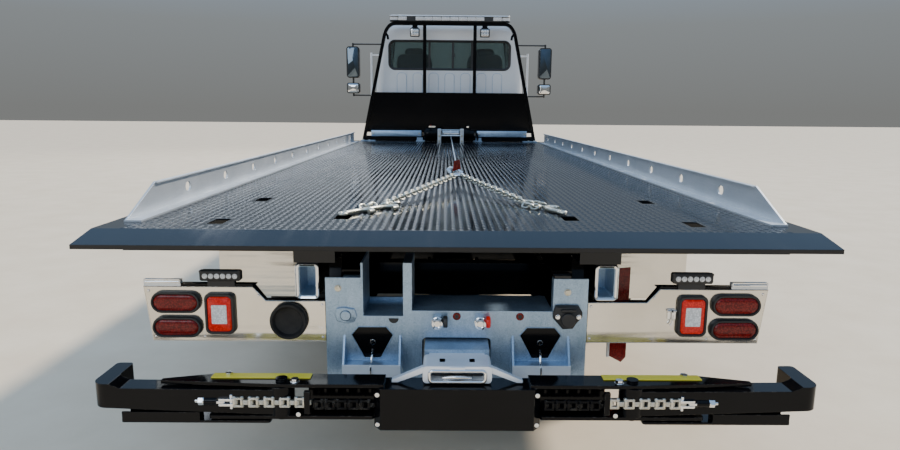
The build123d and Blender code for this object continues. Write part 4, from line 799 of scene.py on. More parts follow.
def plate_fittings():
    """Bolts, red plugs, a half disc and the blank cover on the galvanised rear plate."""
    middle = (-413, 697)
    cover = [(-41, 2), (-33, 27), (-8, 32), (33, 25), (41, -2), (33, -24), (4, -32), (-33, -22)]
    outer = shifted(cover, middle)
    shape = Shape("galvanised")
    shape.layers("s", behind(PLATE, (outer, -0.5), (outer, 5), (shifted(cover, middle, 0.9), 8)))
    shape.use("black_plastic").lathe("s", behind(PLATE, (20.5, 7), (20.5, 8.6), (19, 8.6)), middle, 24)
    shape.use("galvanised").rod("s", 19, middle, (PLATE - 13, PLATE - 7), 24, 2)
    for spot in ((411, 789), (-440, 800)):
        shape.use("chain_steel").hex_bolt("s", 19, 8, spot, PLATE, -1)
    for x in (0, 236):
        shape.use("red_lens").rod("s", 15, (x, 694), (PLATE - 3, PLATE + 1), 20, 1.5)
        shape.use("black_plastic").rod("s", 7, (x, 694), (PLATE - 5, PLATE - 2), 16, 1)
    shape.use("black_plastic").prism("s", circle(19, 14, (-235, 685), 180, 180), PLATE - 1.2, PLATE + 0.5)
    shape.made("plate_fittings", "chassis")


def plate_couplers():
    """Two hydraulic quick couplers with their dust caps, a round cup, a covered socket and a post cap."""
    shape = Shape("chrome")
    for x in (-68, 90):
        shape.use("chrome").rod("s", 20, (x, 680), (PLATE - 14, PLATE), 6)
        shape.lathe("s", behind(
            PLATE, (15, 14), (15, 20), (21, 22), (21, 32), (17, 34), (17, 44), (20, 46), (20, 56), (13, 58), (11, 50),
            (0.5, 50)), (x - 4, 680), 28)
        # the dust cap swung aside on its strap
        shape.use("black_plastic" if x < 0 else "bright_red_lens")
        shape.lathe("x", [(0.5, x + 17), (20, x + 18), (22, x + 21), (22, x + 31), (19, x + 34), (0.5, x + 34)],
                    (PLATE - 28, 682), 24)
        shape.pipe([(x + 22, PLATE - 8, 664), (x + 28, PLATE - 16, 661), (x + 27, PLATE - 26, 664)], 4, 8)
    # dished cup for a plug
    shape.use("tyre_rubber").lathe("s", behind(
        PLATE, (66, 1), (69, 6), (69, 20), (65, 26), (59, 26), (55, 20), (52, 9), (39, 5), (19, 4), (0.5, 4)),
        (-623, 676), 48)
    # socket cover with two bolt ears and a hinge
    ears = [(-54, 14), (-46, 42), (-10, 44), (40, 42), (54, 18), (54, 0), (32, -26), (20, -45), (-18, -47),
            (-34, -28), (-54, -6)]
    body, small = shifted(ears, (412, 698)), shifted(ears, (412, 698), 0.86)
    shape.use("black_plastic").layers("s", behind(PLATE, (body, 0), (body, 14), (small, 20)))
    shape.rod("s", 27, (412, 690), (PLATE - 34, PLATE - 19), 28, 3)
    shape.block((385, 440), (PLATE - 30, PLATE - 20), (722, 730))
    for ear in (374, 452):
        shape.use("chrome").hex_bolt("s", 13, 6, (ear, 700), PLATE - 19, -1)
    shape.use("black_plastic").block((361, 422), (PLATE + 2, PLATE + 40), (840.5, 851))
    shape.made("plate_couplers", "chassis", replaces=("rear_fittings",), slot="black_plastic")


def pocket_trim():
    """Rolled rim, shelf welds, a black sheet just inside the mouth as painted shade of the pocket's deep inside, lip
    and hanging eye pin of each six-sided chain pocket.
    """
    shape = Shape("galvanised")
    six = [(-52, 61), (52, 61), (78, 29), (31, -61), (-31, -61), (-78, 29)]
    for x in (-315, 315):
        shape.use("galvanised").pipe([(u, PLATE - 0.5, v) for u, v in shifted(six, (x, 591))], 2.2, 6, True)
        for edge in (x - 108, x + 108):
            shape.pipe([(edge, PLATE - 1, z) for z in (470, 505, 540, 575, 612)], 3.2, 6)
        shelf = [(x - 100, 521), (x - 50, 522), (x, 521), (x + 100, 521)]
        shape.pipe([(u, PLATE - 1, v) for u, v in shelf], 3, 6)
        # black sheet just inside each pocket's mouth: painted shade of its deep inside
        shape.use("black_paint").prism("s", shifted(six, (x, 591), 0.985), 205.4, 207.8)
        shape.use("bright_zinc").block((x - 108, x + 108), (147, 151.6), (466, 521))
        shape.use("chrome").pipe([(x, 205, 560), (x, 190, 556), (x - 1, 176, 540), (x - 2, 170, 521)], 4.5, 8)
        hook = [(168, 500), (160, 521), (146, 512), (142, 492), (148, 476), (158, 480)]
        shape.pipe([(x - 2, s, z) for s, z in hook], 4, 8)
        shape.rod("s", 10, (x, 590), (205, 214), 12)
    shape.made("pocket_trim", "chassis")


# across, up, width and height of the lamps on one side
OVALS = [(1037, 745, 182, 83), (1037, 650, 182, 81)]
BLOCK_LAMP = (876, 702, 112, 158)
STROBE = (870, 846, 150, 39)


def grommet(shape, outer, inner):
    """A soft rubber ring that stands proud of the sheet round a lamp."""
    shape.use("black_plastic").layers("s", behind(
        PLATE, (outer, 0), (outer, 12), (blend(outer, inner, 0.25), 20), (blend(outer, inner, 0.75), 20),
        (inner, 14), (inner, 1)), True)


def tail_lights():
    """Oval and block lamps in rubber grommets on both sides."""
    shape = Shape("red_lens")
    for x, z, wide, tall in OVALS:
        outer, inner, core = [slot_outline(wide - less, tall - less, (x, z), 14) for less in (0, 22, 60)]
        grommet(shape, outer, inner)
        shape.use("red_lens").layers("s", behind(
            PLATE, (inner, 4), (inner, 15), (blend(inner, core, 0.12), 18), (blend(inner, core, 0.5), 20.5),
            (core, 21.5)))
    x, z, wide, tall = BLOCK_LAMP
    corners = ((0, 24), (26, 15), (36, 11))
    outer, inner, core = [round_box(wide - less, tall - less, r, (x, z), 7) for less, r in corners]
    grommet(shape, outer, inner)
    shape.use("bright_red_lens").layers("s", behind(PLATE, (inner, 4), (inner, 17), (core, 21)))
    shape.use("clear_lens").pads("s", (x, z), behind(PLATE, (57, 73, 4, 20), (55, 71, 4, 23)), 4)
    shape.mirrored()
    shape.made("tail_lights", "chassis", replaces=("tail_lamps",))


def strobes():
    """Slim black strobe housings with six clear domes each, on a small foot."""
    shape = Shape("black_plastic")
    x, z, wide, tall = STROBE
    shape.pads("s", (x, z), behind(PLATE, (wide - 6, tall - 6, 6, -20), (wide, tall, 8, -17), (wide, tall, 8, 8),
                                   (wide - 8, tall - 8, 5, 11)))
    shape.block((x - 50, x + 50), (PLATE, PLATE + 20), (802.3, z - tall / 2 + 1))
    for side in (-1, 1):
        shape.rod("s", 6, (x + side * (wide / 2 - 5), z + tall / 2 - 4), (PLATE - 10, PLATE + 4), 12)
    dome = behind(PLATE, (10, 10), (10, 11.5), (8.2, 13), (5, 13.8), (0.4, 14))
    for index in range(6):
        shape.use("clear_lens").lathe("s", dome, (x - 55 + index * 22, z - 1), 16)
    shape.mirrored()
    shape.made("strobes", "chassis")


def bar_trim():
    """What sits on the bright lamp bars: the black support behind, end brackets, latch, rivets and folded edge."""
    shape = Shape("black_paint")
    top = [(498, 752), (712, 752), (758, 812), (1130, 812), (1130, 802), (760, 800), (712, 745), (498, 738)]
    shape.prism("s", top, PLATE + 4, PLATE + 34)
    shape.use("aluminium").block((1020, 1155), (PLATE + 2, PLATE + 22), (802.5, 828))
    shape.use("chrome").block((1022, 1150), (PLATE - 2, PLATE + 6), (815, 830))
    shape.pipe([(1024, PLATE - 2, 822), (1090, PLATE - 4, 822), (1148, PLATE - 2, 822)], 3, 8)
    edge = [(488, 595), (1132, 595), (1155, 802), (755, 802), (708, 749), (488, 749)]
    shape.use("stainless").pipe([(x, PLATE + 1, z) for x, z in edge], 2.4, 6, True)
    rivet = behind(PLATE, (5, 0), (5, 1.5), (3.5, 3), (0.4, 3.4))
    for spot in ((1138, 786), (1122, 610), (500, 735), (500, 610), (735, 770), (940, 610)):
        shape.use("chrome").lathe("s", rivet, spot, 12)
    shape.mirrored()
    # folding latch on the right bar only
    shape.block((785, 815), (PLATE - 8, PLATE), (690, 728))
    shape.pipe([(800, PLATE - 10, 724), (800, PLATE - 16, 718), (800, PLATE - 16, 676), (794, PLATE - 13, 668)], 4, 8)
    shape.rod("x", 4, (PLATE - 8, 722), (782, 818), 10)
    shape.made("bar_trim", "chassis", slot="chrome")


def flag_board():
    """The dark red board that hangs in front of the right lamp bar."""
    shape = Shape("red_lens")
    shape.prism("s", [(600, 856), (668, 862), (668, 500), (650, 478), (600, 505)], 296, 302)
    shape.use("aluminium").block((592, 602), (294, 304), (500, 760))
    shape.made("flag_board", "chassis")


# Wheel lift
def leaf_chain(x_from, x_to, s, z, pitch):
    """Bare points of the pitches of a plate chain that runs outward on both sides."""
    count = int((x_to - x_from) / pitch)
    return spots_mesh([(side * (x_from + pitch * (step + 0.5)), s, z) for _, side in SIDES for step in range(count)])


def leaf_plates():
    """One pitch of plate chain: outer plates, inner plates that reach on to the next pitch, and two pins."""
    shape = Shape("chain_steel")
    for v in (-15.5, -11.5, 11.5, 15.5):
        shape.prism("z", slot_outline(41, 15, (0, 0), 6), v - 1.6, v + 1.6)
    for v in (-6, -2, 2, 6):
        shape.prism("z", slot_outline(25, 15, (26.2, 0), 5), v - 1.5, v + 1.5)
        shape.prism("z", slot_outline(18, 14, (-9, 0), 5), v - 1.5, v + 1.5)
    for u in (-13, 13):
        shape.rod("z", 5, (u, 0), (-19.5, 19.5), 8, 1)
        shape.prism("s", [(u - 3.4, -10), (u + 3.4, -10), (u + 3.4, 10), (u - 3.4, 10)], -8.4, 8.4)
    return shape.bare()


def lift_chains():
    """Bright plate chains on the back of each arm, darker ones further in, and the ends of the bright ones."""
    for name, finish, run in (("lift_chains", "chain_steel", (508, 772, -51, 470, 52.5)),
                              ("inner_chains", "black_paint", (296, 500, -34, 455, 40))):
        ON_POINTS.grow(name, "crossbar", finish, leaf_chain(*run), piece=leaf_plates())
    shape = Shape("chrome")
    # clevis, threaded end and nut
    for z in (461, 479):
        shape.prism("z", slot_outline(58, 20, (785, -50), 6), z - 4, z + 4)
    shape.rod("z", 6, (768, -50), (444, 496), 12, 1)
    shape.prism("z", slot_outline(36, 18, (806, -50), 6), 466, 474)
    shape.use("black_paint").rod("x", 14, (-46, 470), (815, 862), 20, 2)
    shape.use("chrome").rod("x", 8, (-44, 470), (860, 892), 14, 1)
    shape.rod("x", 15, (-44, 470), (864, 880), 6)
    shape.rod("x", 16, (-44, 470), (860, 864), 20)
    for spot in ((556, -26), (796, 24)):
        shape.hex_bolt("z", 24, 10, spot, 533, 1)
    for spot in ((272, 500), (272, 392), (540, 428)):
        shape.lathe("s", [(8, -59), (8, -60), (5, -60.4), (0.4, -60.5)], spot, 12)
    shape.mirrored()
    shape.made("chain_ends", "crossbar")


def crossbar_trim():
    """Yellow strips on the arms, and the black blocks at their inner ends."""
    shape = Shape("yellow_paint")
    shape.block((507, 850), (-5, 34), (533.2, 537.5))
    shape.use("black_paint").block((500, 520), (-60, -44), (430, 510))
    shape.mirrored()
    shape.made("crossbar_trim", "crossbar", slot="yellow_paint", soften=1)


def housing_rim():
    """Bright rolled rim round the mouth of the housing, its two top slots and the latch inside."""
    shape = Shape("chrome")
    shape.pipe([(u, -21, v) for u, v in round_box(192, 40, 12, (0, 551))], 6.5, 10, True)
    shape.pipe([(-48, -8, 540), (-22, -18, 547), (0, -22, 549), (22, -18, 547), (48, -8, 540)], 7, 10)
    shape.use("bright_zinc").block((-26, 26), (-24, -16), (572, 585))
    shape.use("black_plastic")
    for x in (-52, 52):
        shape.prism("z", slot_outline(11, 30, (x, 36), 6), 586, 587.4)
    shape.block((-92, 92), (24, 30), (535, 566))
    shape.made("housing_rim", "stinger")


def tube_rims():
    """Folded bright rims and grey liners of the two open tube ends under the deck, with their outer guards."""
    centre = (551, 827)
    shape = Shape("chrome")
    rim = [(84, 135, 15, 203), (84, 135, 15, 193), (78, 129, 13, 190), (64, 115, 9, 193), (64, 115, 9, 203)]
    shape.pads("s", centre, rim, close=True)
    liner = [(64, 115, 9, 199), (64, 115, 9, 330), (58, 109, 7, 330), (58, 109, 7, 199)]
    shape.use("galvanised").pads("s", centre, liner, close=True)
    shape.prism("s", round_box(60, 111, 8, centre), 326, 330)
    # folded guard on the outer side, up to the deck
    shape.prism("x", [(202, 764), (202, 884), (250, 892), (420, 892), (420, 764)], 590, 596)
    shape.use("chrome").pipe([(596, 205, 766), (596, 205, 884)], 3, 8)
    shape.mirrored()
    shape.made("tube_rims", "bed", slot="galvanised")


# Bridle. APEX is where its two legs meet the winch line.
APEX = (22, 1410, 1100)


def round_link(long, wide, wire):
    """A welded link, as round bar bent to an oval."""
    shape = Shape("chain_steel")
    reach, bend = (long - wide) / 2, (wide - wire) / 2
    ring = [(side * reach + u, v, 0) for side in (1, -1) for u, v in circle(bend, 5, (0, 0), -90 * side, 180)]
    shape.pipe(ring, wire / 2, 7, True)
    return shape.bare()


def chain_spots(start, end, pitch):
    """Link places along a straight run, each turned a quarter from the last."""
    a, line = Vector(start), Vector(end) - Vector(start)
    count = max(2, round(line.length / pitch))
    flat = line.to_track_quat("X", "Z").to_matrix().to_4x4()
    spots = [tuple(a + line * ((step + 0.5) / count)) for step in range(count)]
    rolls = [Matrix.Rotation(math.radians(45 if step % 2 else -45), 4, "X") for step in range(count)]
    return spots, [tuple((flat @ roll).to_euler()) for roll in rolls]


def hoop(r, sides, centre):
    """Points round a level circle."""
    x, s, z = centre
    return [(u, v, z) for u, v in circle(r, sides, (x, s))]


def sling_hook(shape, x, s, turn):
    """A forged hook that lies on the deck, point forward of its eye."""
    across, along = math.cos(math.radians(turn)), math.sin(math.radians(turn))
    line = [(0, 60), (2, 30), (2, 0), (-2, -30), (-14, -58), (-38, -70), (-58, -52), (-56, -26)]
    eye = [(u * 14, 72 + v * 16) for u, v in circle(1, 12)]
    for points, r, sides, close in ((line, 9.5, 10, False), (eye, 7, 8, True)):
        shape.pipe([(x + u * across - v * along, s + u * along + v * across, DECK + 10) for u, v in points],
                   r, sides, close)


def bridle_chains():
    """Two legs of plated chain from the ring at the winch line, with their hooks on the deck."""
    x, s, z = APEX
    low = DECK + 17
    spots, turns = [], []
    runs = [((x - 22, s - 30, z), (-312, 651, low)), ((x + 22, s - 30, z), (307, 773, low)),
            ((-345, 640, low), (-400, 560, low)), ((-318, 640, DECK + 14), (-250, 690, DECK + 13)),
            ((322, 760, DECK + 14), (395, 690, DECK + 14)), ((350, 640, DECK + 12), (300, 700, DECK + 12))]
    for start, end in runs:
        more_spots, more_turns = chain_spots(start, end, 31)
        spots += more_spots
        turns += more_turns
    ON_POINTS.grow("bridle_chain", "bed", "chain_steel", spots_mesh(spots, turns), piece=round_link(50, 36, 9.5),
                   smooth=0, replaces=("bridle",))
    shape = Shape("chain_steel")
    for hook in ((-328, 612, 140), (318, 735, -150), (-418, 500, 150), (402, 575, -152)):
        sling_hook(shape, *hook)
    # ring, swivel hook and hammer lock at the apex
    shape.use("chrome").pipe(hoop(34, 20, APEX), 8, 10, True)
    shape.pipe([(x - 40, s - 6, z + 10), (x - 54, s + 18, z + 26), (x - 38, s + 44, z + 34), (x - 4, s + 56, z + 22),
                (x + 26, s + 48, z + 4)], 11, 10)
    lock = [(-30, 20), (16, 34), (10, 84), (-20, 78)]
    shape.use("red_lens").prism("s", shifted(lock, (x, z)), s + 6, s + 12)
    shape.made("bridle_hooks", "bed")


def winch_line():
    """The steel line from the drum to the ring: strands laid round a core, and its swaged eye."""
    shape = Shape("chrome")
    x, s, z = APEX
    start, end = s + 46, WINCH_S - 61.5
    strands, turns, lay = 6, 150, 3.6
    for strand in range(strands):
        line = []
        for step in range(turns * 3 + 1):
            part = step / (turns * 3)
            swing = math.tau * (strand / strands + part * turns)
            line.append((x + lay * math.cos(swing), start + (end - start) * part, z + 6 + lay * math.sin(swing)))
        shape.pipe(line, 2.2, 4)
    shape.lathe("s", [(9, s + 148), (14, s + 146), (16, s + 130), (16, s + 60), (13, s + 44)], (x, z), 20)
    shape.made("winch_line", "bed", smooth=0, replaces=("tow_cable",), slot="chain_steel")


# Wheels. TWINS are the middles of the inner and outer tyre of a pair.
WHEEL_R = 455
FRONT_AXLE = 8428
REAR_AXLE = 2434
FRONT_WHEEL_X = 1020
TWINS = (776.5, 1083.5)
# profiles as radius and place across: a side wall from the bead out to the shoulder, and the two treads
FLANK = [(285, 104), (289, 113), (298, 116), (303, 120), (306, 120), (310, 122), (334, 130), (360, 136), (388, 137.3),
         (404, 136.4), (408, 137.3), (414, 136.6), (418, 135), (430, 131), (441, 122)]
DRIVE_TREAD = [(442, -112), (441, 0), (442, 112)]
STEER_TREAD = [(447, -119)]
for low, high in ((-112, -70), (-60, -24), (-16, 16), (24, 60), (70, 112)):
    STEER_TREAD += [(454.6, low), (454.6, high), (443, high + 2), (443, high + 8)]
STEER_TREAD[-2:] = [(447, 119)]


def tyre(shape, axle, c, tread):
    """Skins a tyre whose middle is at a place across."""
    rows = [(r, c - u) for r, u in FLANK] + [(r, c + u) for r, u in tread + FLANK[::-1]]
    shape.lathe("x", rows, (axle, WHEEL_R), 96, True)


def drive_block():
    """One pitch of drive tread: four skewed blocks and the shoulder lugs, reaching outward along X."""
    shape = Shape("tyre_rubber")
    # near and far edge across, half length, skew
    for near, far, half, skew in [(-58, -4, 18, 5), (4, 58, 18, -5), (-112, -66, 17, -3), (66, 112, 17, 3)]:
        base = [(-half - skew, near), (half - skew, near), (half + skew, far), (-half + skew, far)]
        top = [(u * 0.93, near + (v - near) * 0.97 + 0.8) for u, v in base]
        shape.layers("x", [(base, -9), (top, 6.4)])
    for side in (-1, 1):
        base = [(-16, side * 112), (16, side * 112), (13, side * 133), (-13, side * 133)]
        shape.layers("x", [([(u, v * 0.985) for u, v in base], -30), ([(u, v * 0.93) for u, v in base], -1)])
    return shape.bare()


def tyres():
    """Steer tyres with straight ribs, and twin drive tyres with a block tread."""
    lug = drive_block()
    for name, side in SIDES:
        shape = Shape("tyre_rubber")
        tyre(shape, FRONT_AXLE, side * FRONT_WHEEL_X, STEER_TREAD)
        shape.made("steer_tyre_" + name, "front_wheel_" + name, replaces=("front_tyre_" + name,))
        shape = Shape("tyre_rubber")
        for c in TWINS:
            tyre(shape, REAR_AXLE, side * c, DRIVE_TREAD)
        shape.made("drive_tyres_" + name, "rear_wheel_" + name, replaces=("rear_tyre_" + name,))
        for which, c in zip(("inner", "outer"), TWINS):
            sizes = {"Count": 58, "Radius": 0.448, "Centre": tuple(place(side * c, REAR_AXLE, WHEEL_R))}
            ROUND_AXLE.grow("tread_" + which + "_" + name, "rear_wheel_" + name, "tyre_rubber", sizes=sizes, piece=lug,
                            smooth=30)


def wheel_nut():
    """A flanged nut and its stud, standing along the axle."""
    shape = Shape("chrome")
    shape.rod("z", 19, (0, 0), (0, 5), 14)
    shape.rod("z", 16, (0, 0), (5, 24), 6, 1)
    shape.rod("z", 9, (0, 0), (20, 36), 10, 1.5)
    return shape.bare()


def hub_parts():
    """Rings of wheel nuts, the front hub caps and the flanges of the driven axle."""
    front, rear = (FRONT_AXLE, WHEEL_R), (REAR_AXLE, WHEEL_R)
    for name, side in SIDES:
        for body, axle, face, r in (("front_wheel_", FRONT_AXLE, 1146, 0.122), ("rear_wheel_", REAR_AXLE, 953, 0.176)):
            nut = wheel_nut()
            if side < 0:
                nut.transform(Matrix.Rotation(math.pi, 4, "X"))
            sizes = {"Count": 10, "Radius": r, "Centre": tuple(place(side * face, axle, WHEEL_R))}
            ROUND_AXLE.grow("nuts_" + body + name, body + name, "chrome", sizes=sizes, piece=nut)
        shape = Shape("chrome")
        shape.lathe("x", sideways(side, (80, 1145), (80, 1165), (70, 1177), (40, 1183), (0.5, 1185)), front, 32)
        shape.use("black_plastic").rod("x", 12, front, sorted((side * 1183, side * 1187)), 12)
        shape.made("hub_cap_" + name, "front_wheel_" + name)
        shape = Shape("black_paint")
        shape.lathe("x", sideways(side, (138, 1174), (138, 1178), (120, 1186), (104, 1188), (100, 1198), (60, 1202),
                                 (0.5, 1202)), rear, 32)
        for spot in circle(86, 8, rear):
            shape.use("chain_steel").rod("x", 9, spot, sorted((side * 1192, side * 1208)), 6)
        shape.made("axle_flange_" + name, "rear_wheel_" + name)


# Bed uprights
HEAD_S = 6600
HEAD_TOP = 2571


def headboard_frame():
    """Tube hoop with its two uprights, the solid lower panel, bright bars, feet and corner gussets."""
    shape = Shape("black_paint")
    tube = 21
    foot, shoulder = 1163, 865
    half_line = [(foot - tube, DECK + 8), (shoulder - tube, 2452), (shoulder - 96, HEAD_TOP - tube)]
    line = bent(half_line + [(-u, v) for u, v in reversed(half_line)], 70)
    shape.strap("s", line, tube, HEAD_S, HEAD_S + 50)
    lean = (foot - shoulder) / (2460 - DECK)
    low, high = [foot - lean * (z - DECK) - 12 for z in (1177, 1671)]
    shape.prism("s", [(-low, 1177), (low, 1177), (high, 1671), (-high, 1671)], HEAD_S + 20, HEAD_S + 26)
    shape.strap("s", [(-high + 12, 1664), (high - 12, 1664)], 7, HEAD_S + 12, HEAD_S + 34)
    shape.strap("s", [(-low + 8, 1168), (low - 8, 1168)], 20, HEAD_S + 5, HEAD_S + 45)
    for side in (-1, 1):
        shape.strap("s", [(side * 329, 1660), (side * 329, HEAD_TOP - 25)], 22, HEAD_S + 5, HEAD_S + 45)
        shape.strap("s", [(side * 380, DECK + 2), (side * 380, 1160)], 20, HEAD_S + 5, HEAD_S + 45)
        gusset = [(side * 836, 2424), (side * 812, 2392), (side * 806, 2348)]
        shape.strap("s", gusset, 14, HEAD_S - 6, HEAD_S + 26)
        bar = behind(HEAD_S, (670, 80, 6, -6), (670, 80, 6, 10), (660, 70, 4, 14))
        shape.use("galvanised").pads("s", (side * 705, 1133), bar)
        shape.block(sorted((side * 985, side * (foot + 14))), (HEAD_S - 62, HEAD_S + 76), (DECK + 0.3, DECK + 12))
        shape.block(sorted((side * 325, side * 440)), (HEAD_S - 60, HEAD_S + 50), (DECK + 0.3, DECK + 14))
        shape.block(sorted((side * 352, side * 430)), (HEAD_S - 46, HEAD_S - 34), (DECK + 14, DECK + 52))
        shape.use("chain_steel")
        for x in (foot - 96, foot - 20):
            shape.hex_bolt("z", 22, 10, (side * x, HEAD_S - 6), DECK + 10, 1)
        for x in sorted((side * 400, side * 1010)):
            shape.hex_bolt("s", 17, 6, (x, 1133), HEAD_S - 14, -1)
        shape.use("black_paint")
    # beam behind the bright bars, down on the deck
    shape.strap("s", [(-1118, DECK + 36), (1118, DECK + 36)], 34, HEAD_S + 14, HEAD_S + 44)
    shape.made("headboard_frame", "bed", replaces=("headboard",), soften=2)


def roof_lights():
    """Low light bar of clear modules under a bright cap, and two work lamps on brackets under the hoop."""
    shape = Shape("black_plastic")
    near, far = HEAD_S - 30, HEAD_S + 90
    centre = (0, (near + far) / 2)
    low, high, top = HEAD_TOP + 17, HEAD_TOP + 62, HEAD_TOP + 83
    shape.pads("z", centre, [(1540, 84, 30, HEAD_TOP + 1), (1570, 112, 44, HEAD_TOP + 8), (1570, 112, 44, low - 1),
                             (1560, 104, 42, low + 3)], 8)
    shape.pads("z", centre, [(1560, 96, 42, high - 3), (1576, 116, 50, high + 1), (1576, 116, 50, high + 5),
                             (1566, 108, 48, high + 7)], 8)
    shape.use("aluminium").pads("z", centre, [(1568, 112, 50, high + 6), (1572, 116, 52, high + 9),
                                              (1568, 112, 50, top - 5), (1548, 94, 42, top)], 8)
    # clear modules, with the dark pair over the hoop's shoulders
    for index in range(14):
        x = -728 + index * 112
        dark, end = index in (2, 11), index in (0, 13)
        body = (100, 96, 26) if end else (108, 112, 9)
        shape.use("black_plastic" if dark else "clear_lens")
        shape.pads("z", (x, centre[1]), [(*body, low), (*body, high)], 6 if end else 4)
        if not dark and not end:
            for v, way in ((near, -1), (far, 1)):
                rows = [(92, 30, 5, v - way * 6), (92, 30, 5, v + way * 0.4), (80, 20, 4, v + way * 1.6)]
                shape.pads("s", (x, (low + high) / 2), rows[::-way], 3)
    for side in (-1, 1):
        x, bottom, head = side * 456, HEAD_TOP - 189, HEAD_TOP - 84
        middle = (bottom + head) / 2
        case = behind(HEAD_S, (104, 88, 10, -24), (126, 107, 12, 0), (126, 107, 12, 32), (120, 101, 10, 37))
        shape.use("black_plastic").pads("s", (x, middle), case)
        shape.use("chrome").pads("s", (x, middle), behind(HEAD_S, (106, 88, 9, 36), (98, 80, 8, 37.5)))
        dome = behind(HEAD_S, (14, 36), (14, 39), (9, 43), (0.4, 44))
        for row in (-20, 20):
            for column in (-32, 0, 32):
                shape.use("clear_lens").lathe("s", dome, (x + column, middle + row), 14)
        # bracket with its pivot bolt
        shape.use("black_paint").block((x - 34, x + 34), (HEAD_S - 2, HEAD_S + 26), (head - 4, HEAD_TOP - 41))
        shape.rod("x", 13, (HEAD_S + 8, head + 4), (x - 46, x + 46), 16, 2)
        for fin in range(5):
            shape.block((x - 44, x + 44), (HEAD_S + 2 + fin * 5, HEAD_S + 4 + fin * 5), (middle - 42, middle + 42))
    shape.made("roof_lights", "bed", replaces=("light_bar",), slot="clear_lens", soften=1)


# Winch
WINCH_S = 6400
WINCH_Z = 1135


def winch_set():
    """Drum with its laid line, planetary end, motor, side plates and bright roller posts."""
    shape = Shape("black_paint")
    axis = (WINCH_S, WINCH_Z)
    # planetary end and motor end: radius, across
    shape.lathe("x", [(0.5, -328), (40, -328), (44, -322), (70, -318), (86, -300), (88, -280), (88, -250), (84, -246),
                      (84, -240), (88, -236), (88, -180), (80, -170), (80, -120), (95, -115), (95, -100), (62, -98)],
                axis, 40)
    shape.lathe("x", [(62, 134), (95, 137), (95, 151), (78, 155), (78, 230), (70, 236), (70, 262), (58, 268), (58, 318),
                      (50, 326), (0.5, 328)], axis, 40)
    plate = [(-90, DECK + 14), (90, DECK + 14), (90, 1110), (50, 1195), (-50, 1195), (-90, 1110)]
    for x in (-140, 175):
        shape.prism("x", shifted(plate, (WINCH_S, 0)), x - 10, x + 10)
    shape.block((-150, 185), (WINCH_S - 105, WINCH_S + 105), (DECK + 0.3, DECK + 14))
    for x in (-135, 170):
        for s in (WINCH_S - 95, WINCH_S + 95):
            shape.use("chain_steel").hex_bolt("z", 19, 10, (x, s), DECK + 14, 1)
    # wound line
    for turn in range(18):
        x = -92 + turn * 12.6
        shape.use("chrome").lathe("x", [(62, x), (66, x + 1.5), (69, x + 6), (66, x + 10.5), (62, x + 12)], axis, 32)
    # posts and rollers
    for x in (-127, 163):
        post = [(46, 46, 5, DECK + 1), (46, 46, 5, 1203), (38, 38, 5, 1208)]
        shape.use("aluminium").pads("z", (x, WINCH_S - 127), post)
        for z in (1118, 1052):
            shape.use("chain_steel").hex_bolt("s", 22, 8, (x, z), WINCH_S - 150, -1)
    for z, r in ((1118, 13), (1190, 8)):
        shape.use("chrome").lathe("x", [(r - 4, -106), (r, -104), (r, 140), (r - 4, 142)], (WINCH_S - 127, z), 20)
    # bright ends of the two release levers
    for x, wide in ((-222, 88), (238, 32)):
        shape.pads("s", (x, 1232), behind(WINCH_S, (wide, 20, 9, 96), (wide, 20, 9, 80)))
    # release handle and hoses
    handle = behind(WINCH_S, (1190, -60), (1230, -20), (1248, 60))
    shape.use("black_plastic").pipe([(-240, s, z) for z, s in handle], 6, 8)
    shape.use("red_lens").lathe("s", behind(WINCH_S, (10, 60), (13, 72), (10, 84)), (-240, 1248), 14)
    for dz in (-22, 22):
        z = WINCH_Z + dz
        shape.use("black_plastic").pipe([
            (300, WINCH_S, z), (342, WINCH_S + 4, z), (366, WINCH_S + 60, z - 10), (380, WINCH_S + 130, 1085 + dz),
            (384, WINCH_S + 160, DECK + 24 + dz / 2)], 9, 8)
    shape.made("winch_set", "bed", replaces=("winch",))


# Cab
CAB_BACK = 6826


def rear_window_trim():
    """Rubber gasket of the back window, its slider posts and the pull."""
    shape = Shape("black_plastic")
    gasket = behind(CAB_BACK, (1652, 398, 92, -3), (1652, 398, 92, 3), (1634, 380, 84, 8), (1586, 336, 64, -2),
                    (1586, 336, 64, -16))
    shape.pads("s", (0, 2169), gasket, 8, True)
    for x in (-270, 45, 300):
        shape.block((x - 14, x + 14), (CAB_BACK + 4, CAB_BACK + 16), (2002, 2336))
    shape.block((58, 76), (CAB_BACK, CAB_BACK + 6), (2150, 2190))
    shape.made("rear_window_trim", "chassis", soften=1)


def cab_trim():
    """Roof markers of the cab."""
    shape = Shape("chrome")
    for finish, s, rows in (("chrome", 7500, [(90, 40, 2588), (80, 32, 2606)]),
                            ("yellow_paint", 7502, [(76, 30, 2600), (60, 20, 2620)])):
        for x in (-560, -150, 0, 150, 560):
            shape.use(finish).slots("z", (x, s), rows)
    shape.made("cab_trim", "chassis")


def cab_seams():
    """Blue-grey lines round the pressings on the back wall, painted shade in the creases at their edges."""
    shape = Shape("galvanised")
    for step in range(-3, 4):
        x = step * 215
        line = [(x - 63, 1500), *circle(45, 5, (x - 18, 1890), 180, -90), *circle(45, 5, (x + 18, 1890), 90, -90),
                (x + 63, 1500)]
        shape.pipe([(u, CAB_BACK - 11.5, v) for u, v in line], 2.6, 6)
    shape.made("cab_seams", "chassis")


def seat_shells():
    """Moulded backs and head rests of the two seats, dark through the glass."""
    shape = Shape("black_plastic")
    back = [(430, 980, 90, 6912), (470, 1020, 90, 6925), (470, 1020, 90, 6960), (430, 980, 90, 6985)]
    rest = [(220, 150, 60, 6925), (260, 190, 60, 6945), (260, 190, 60, 7010), (230, 160, 60, 7030)]
    for x in (-480, 480):
        shape.pads("s", (x, 1680), back, 6)
        shape.pads("s", (x, 2175), rest, 6)
    shape.made("seat_shells", "chassis", slot="black_plastic", soften=4)


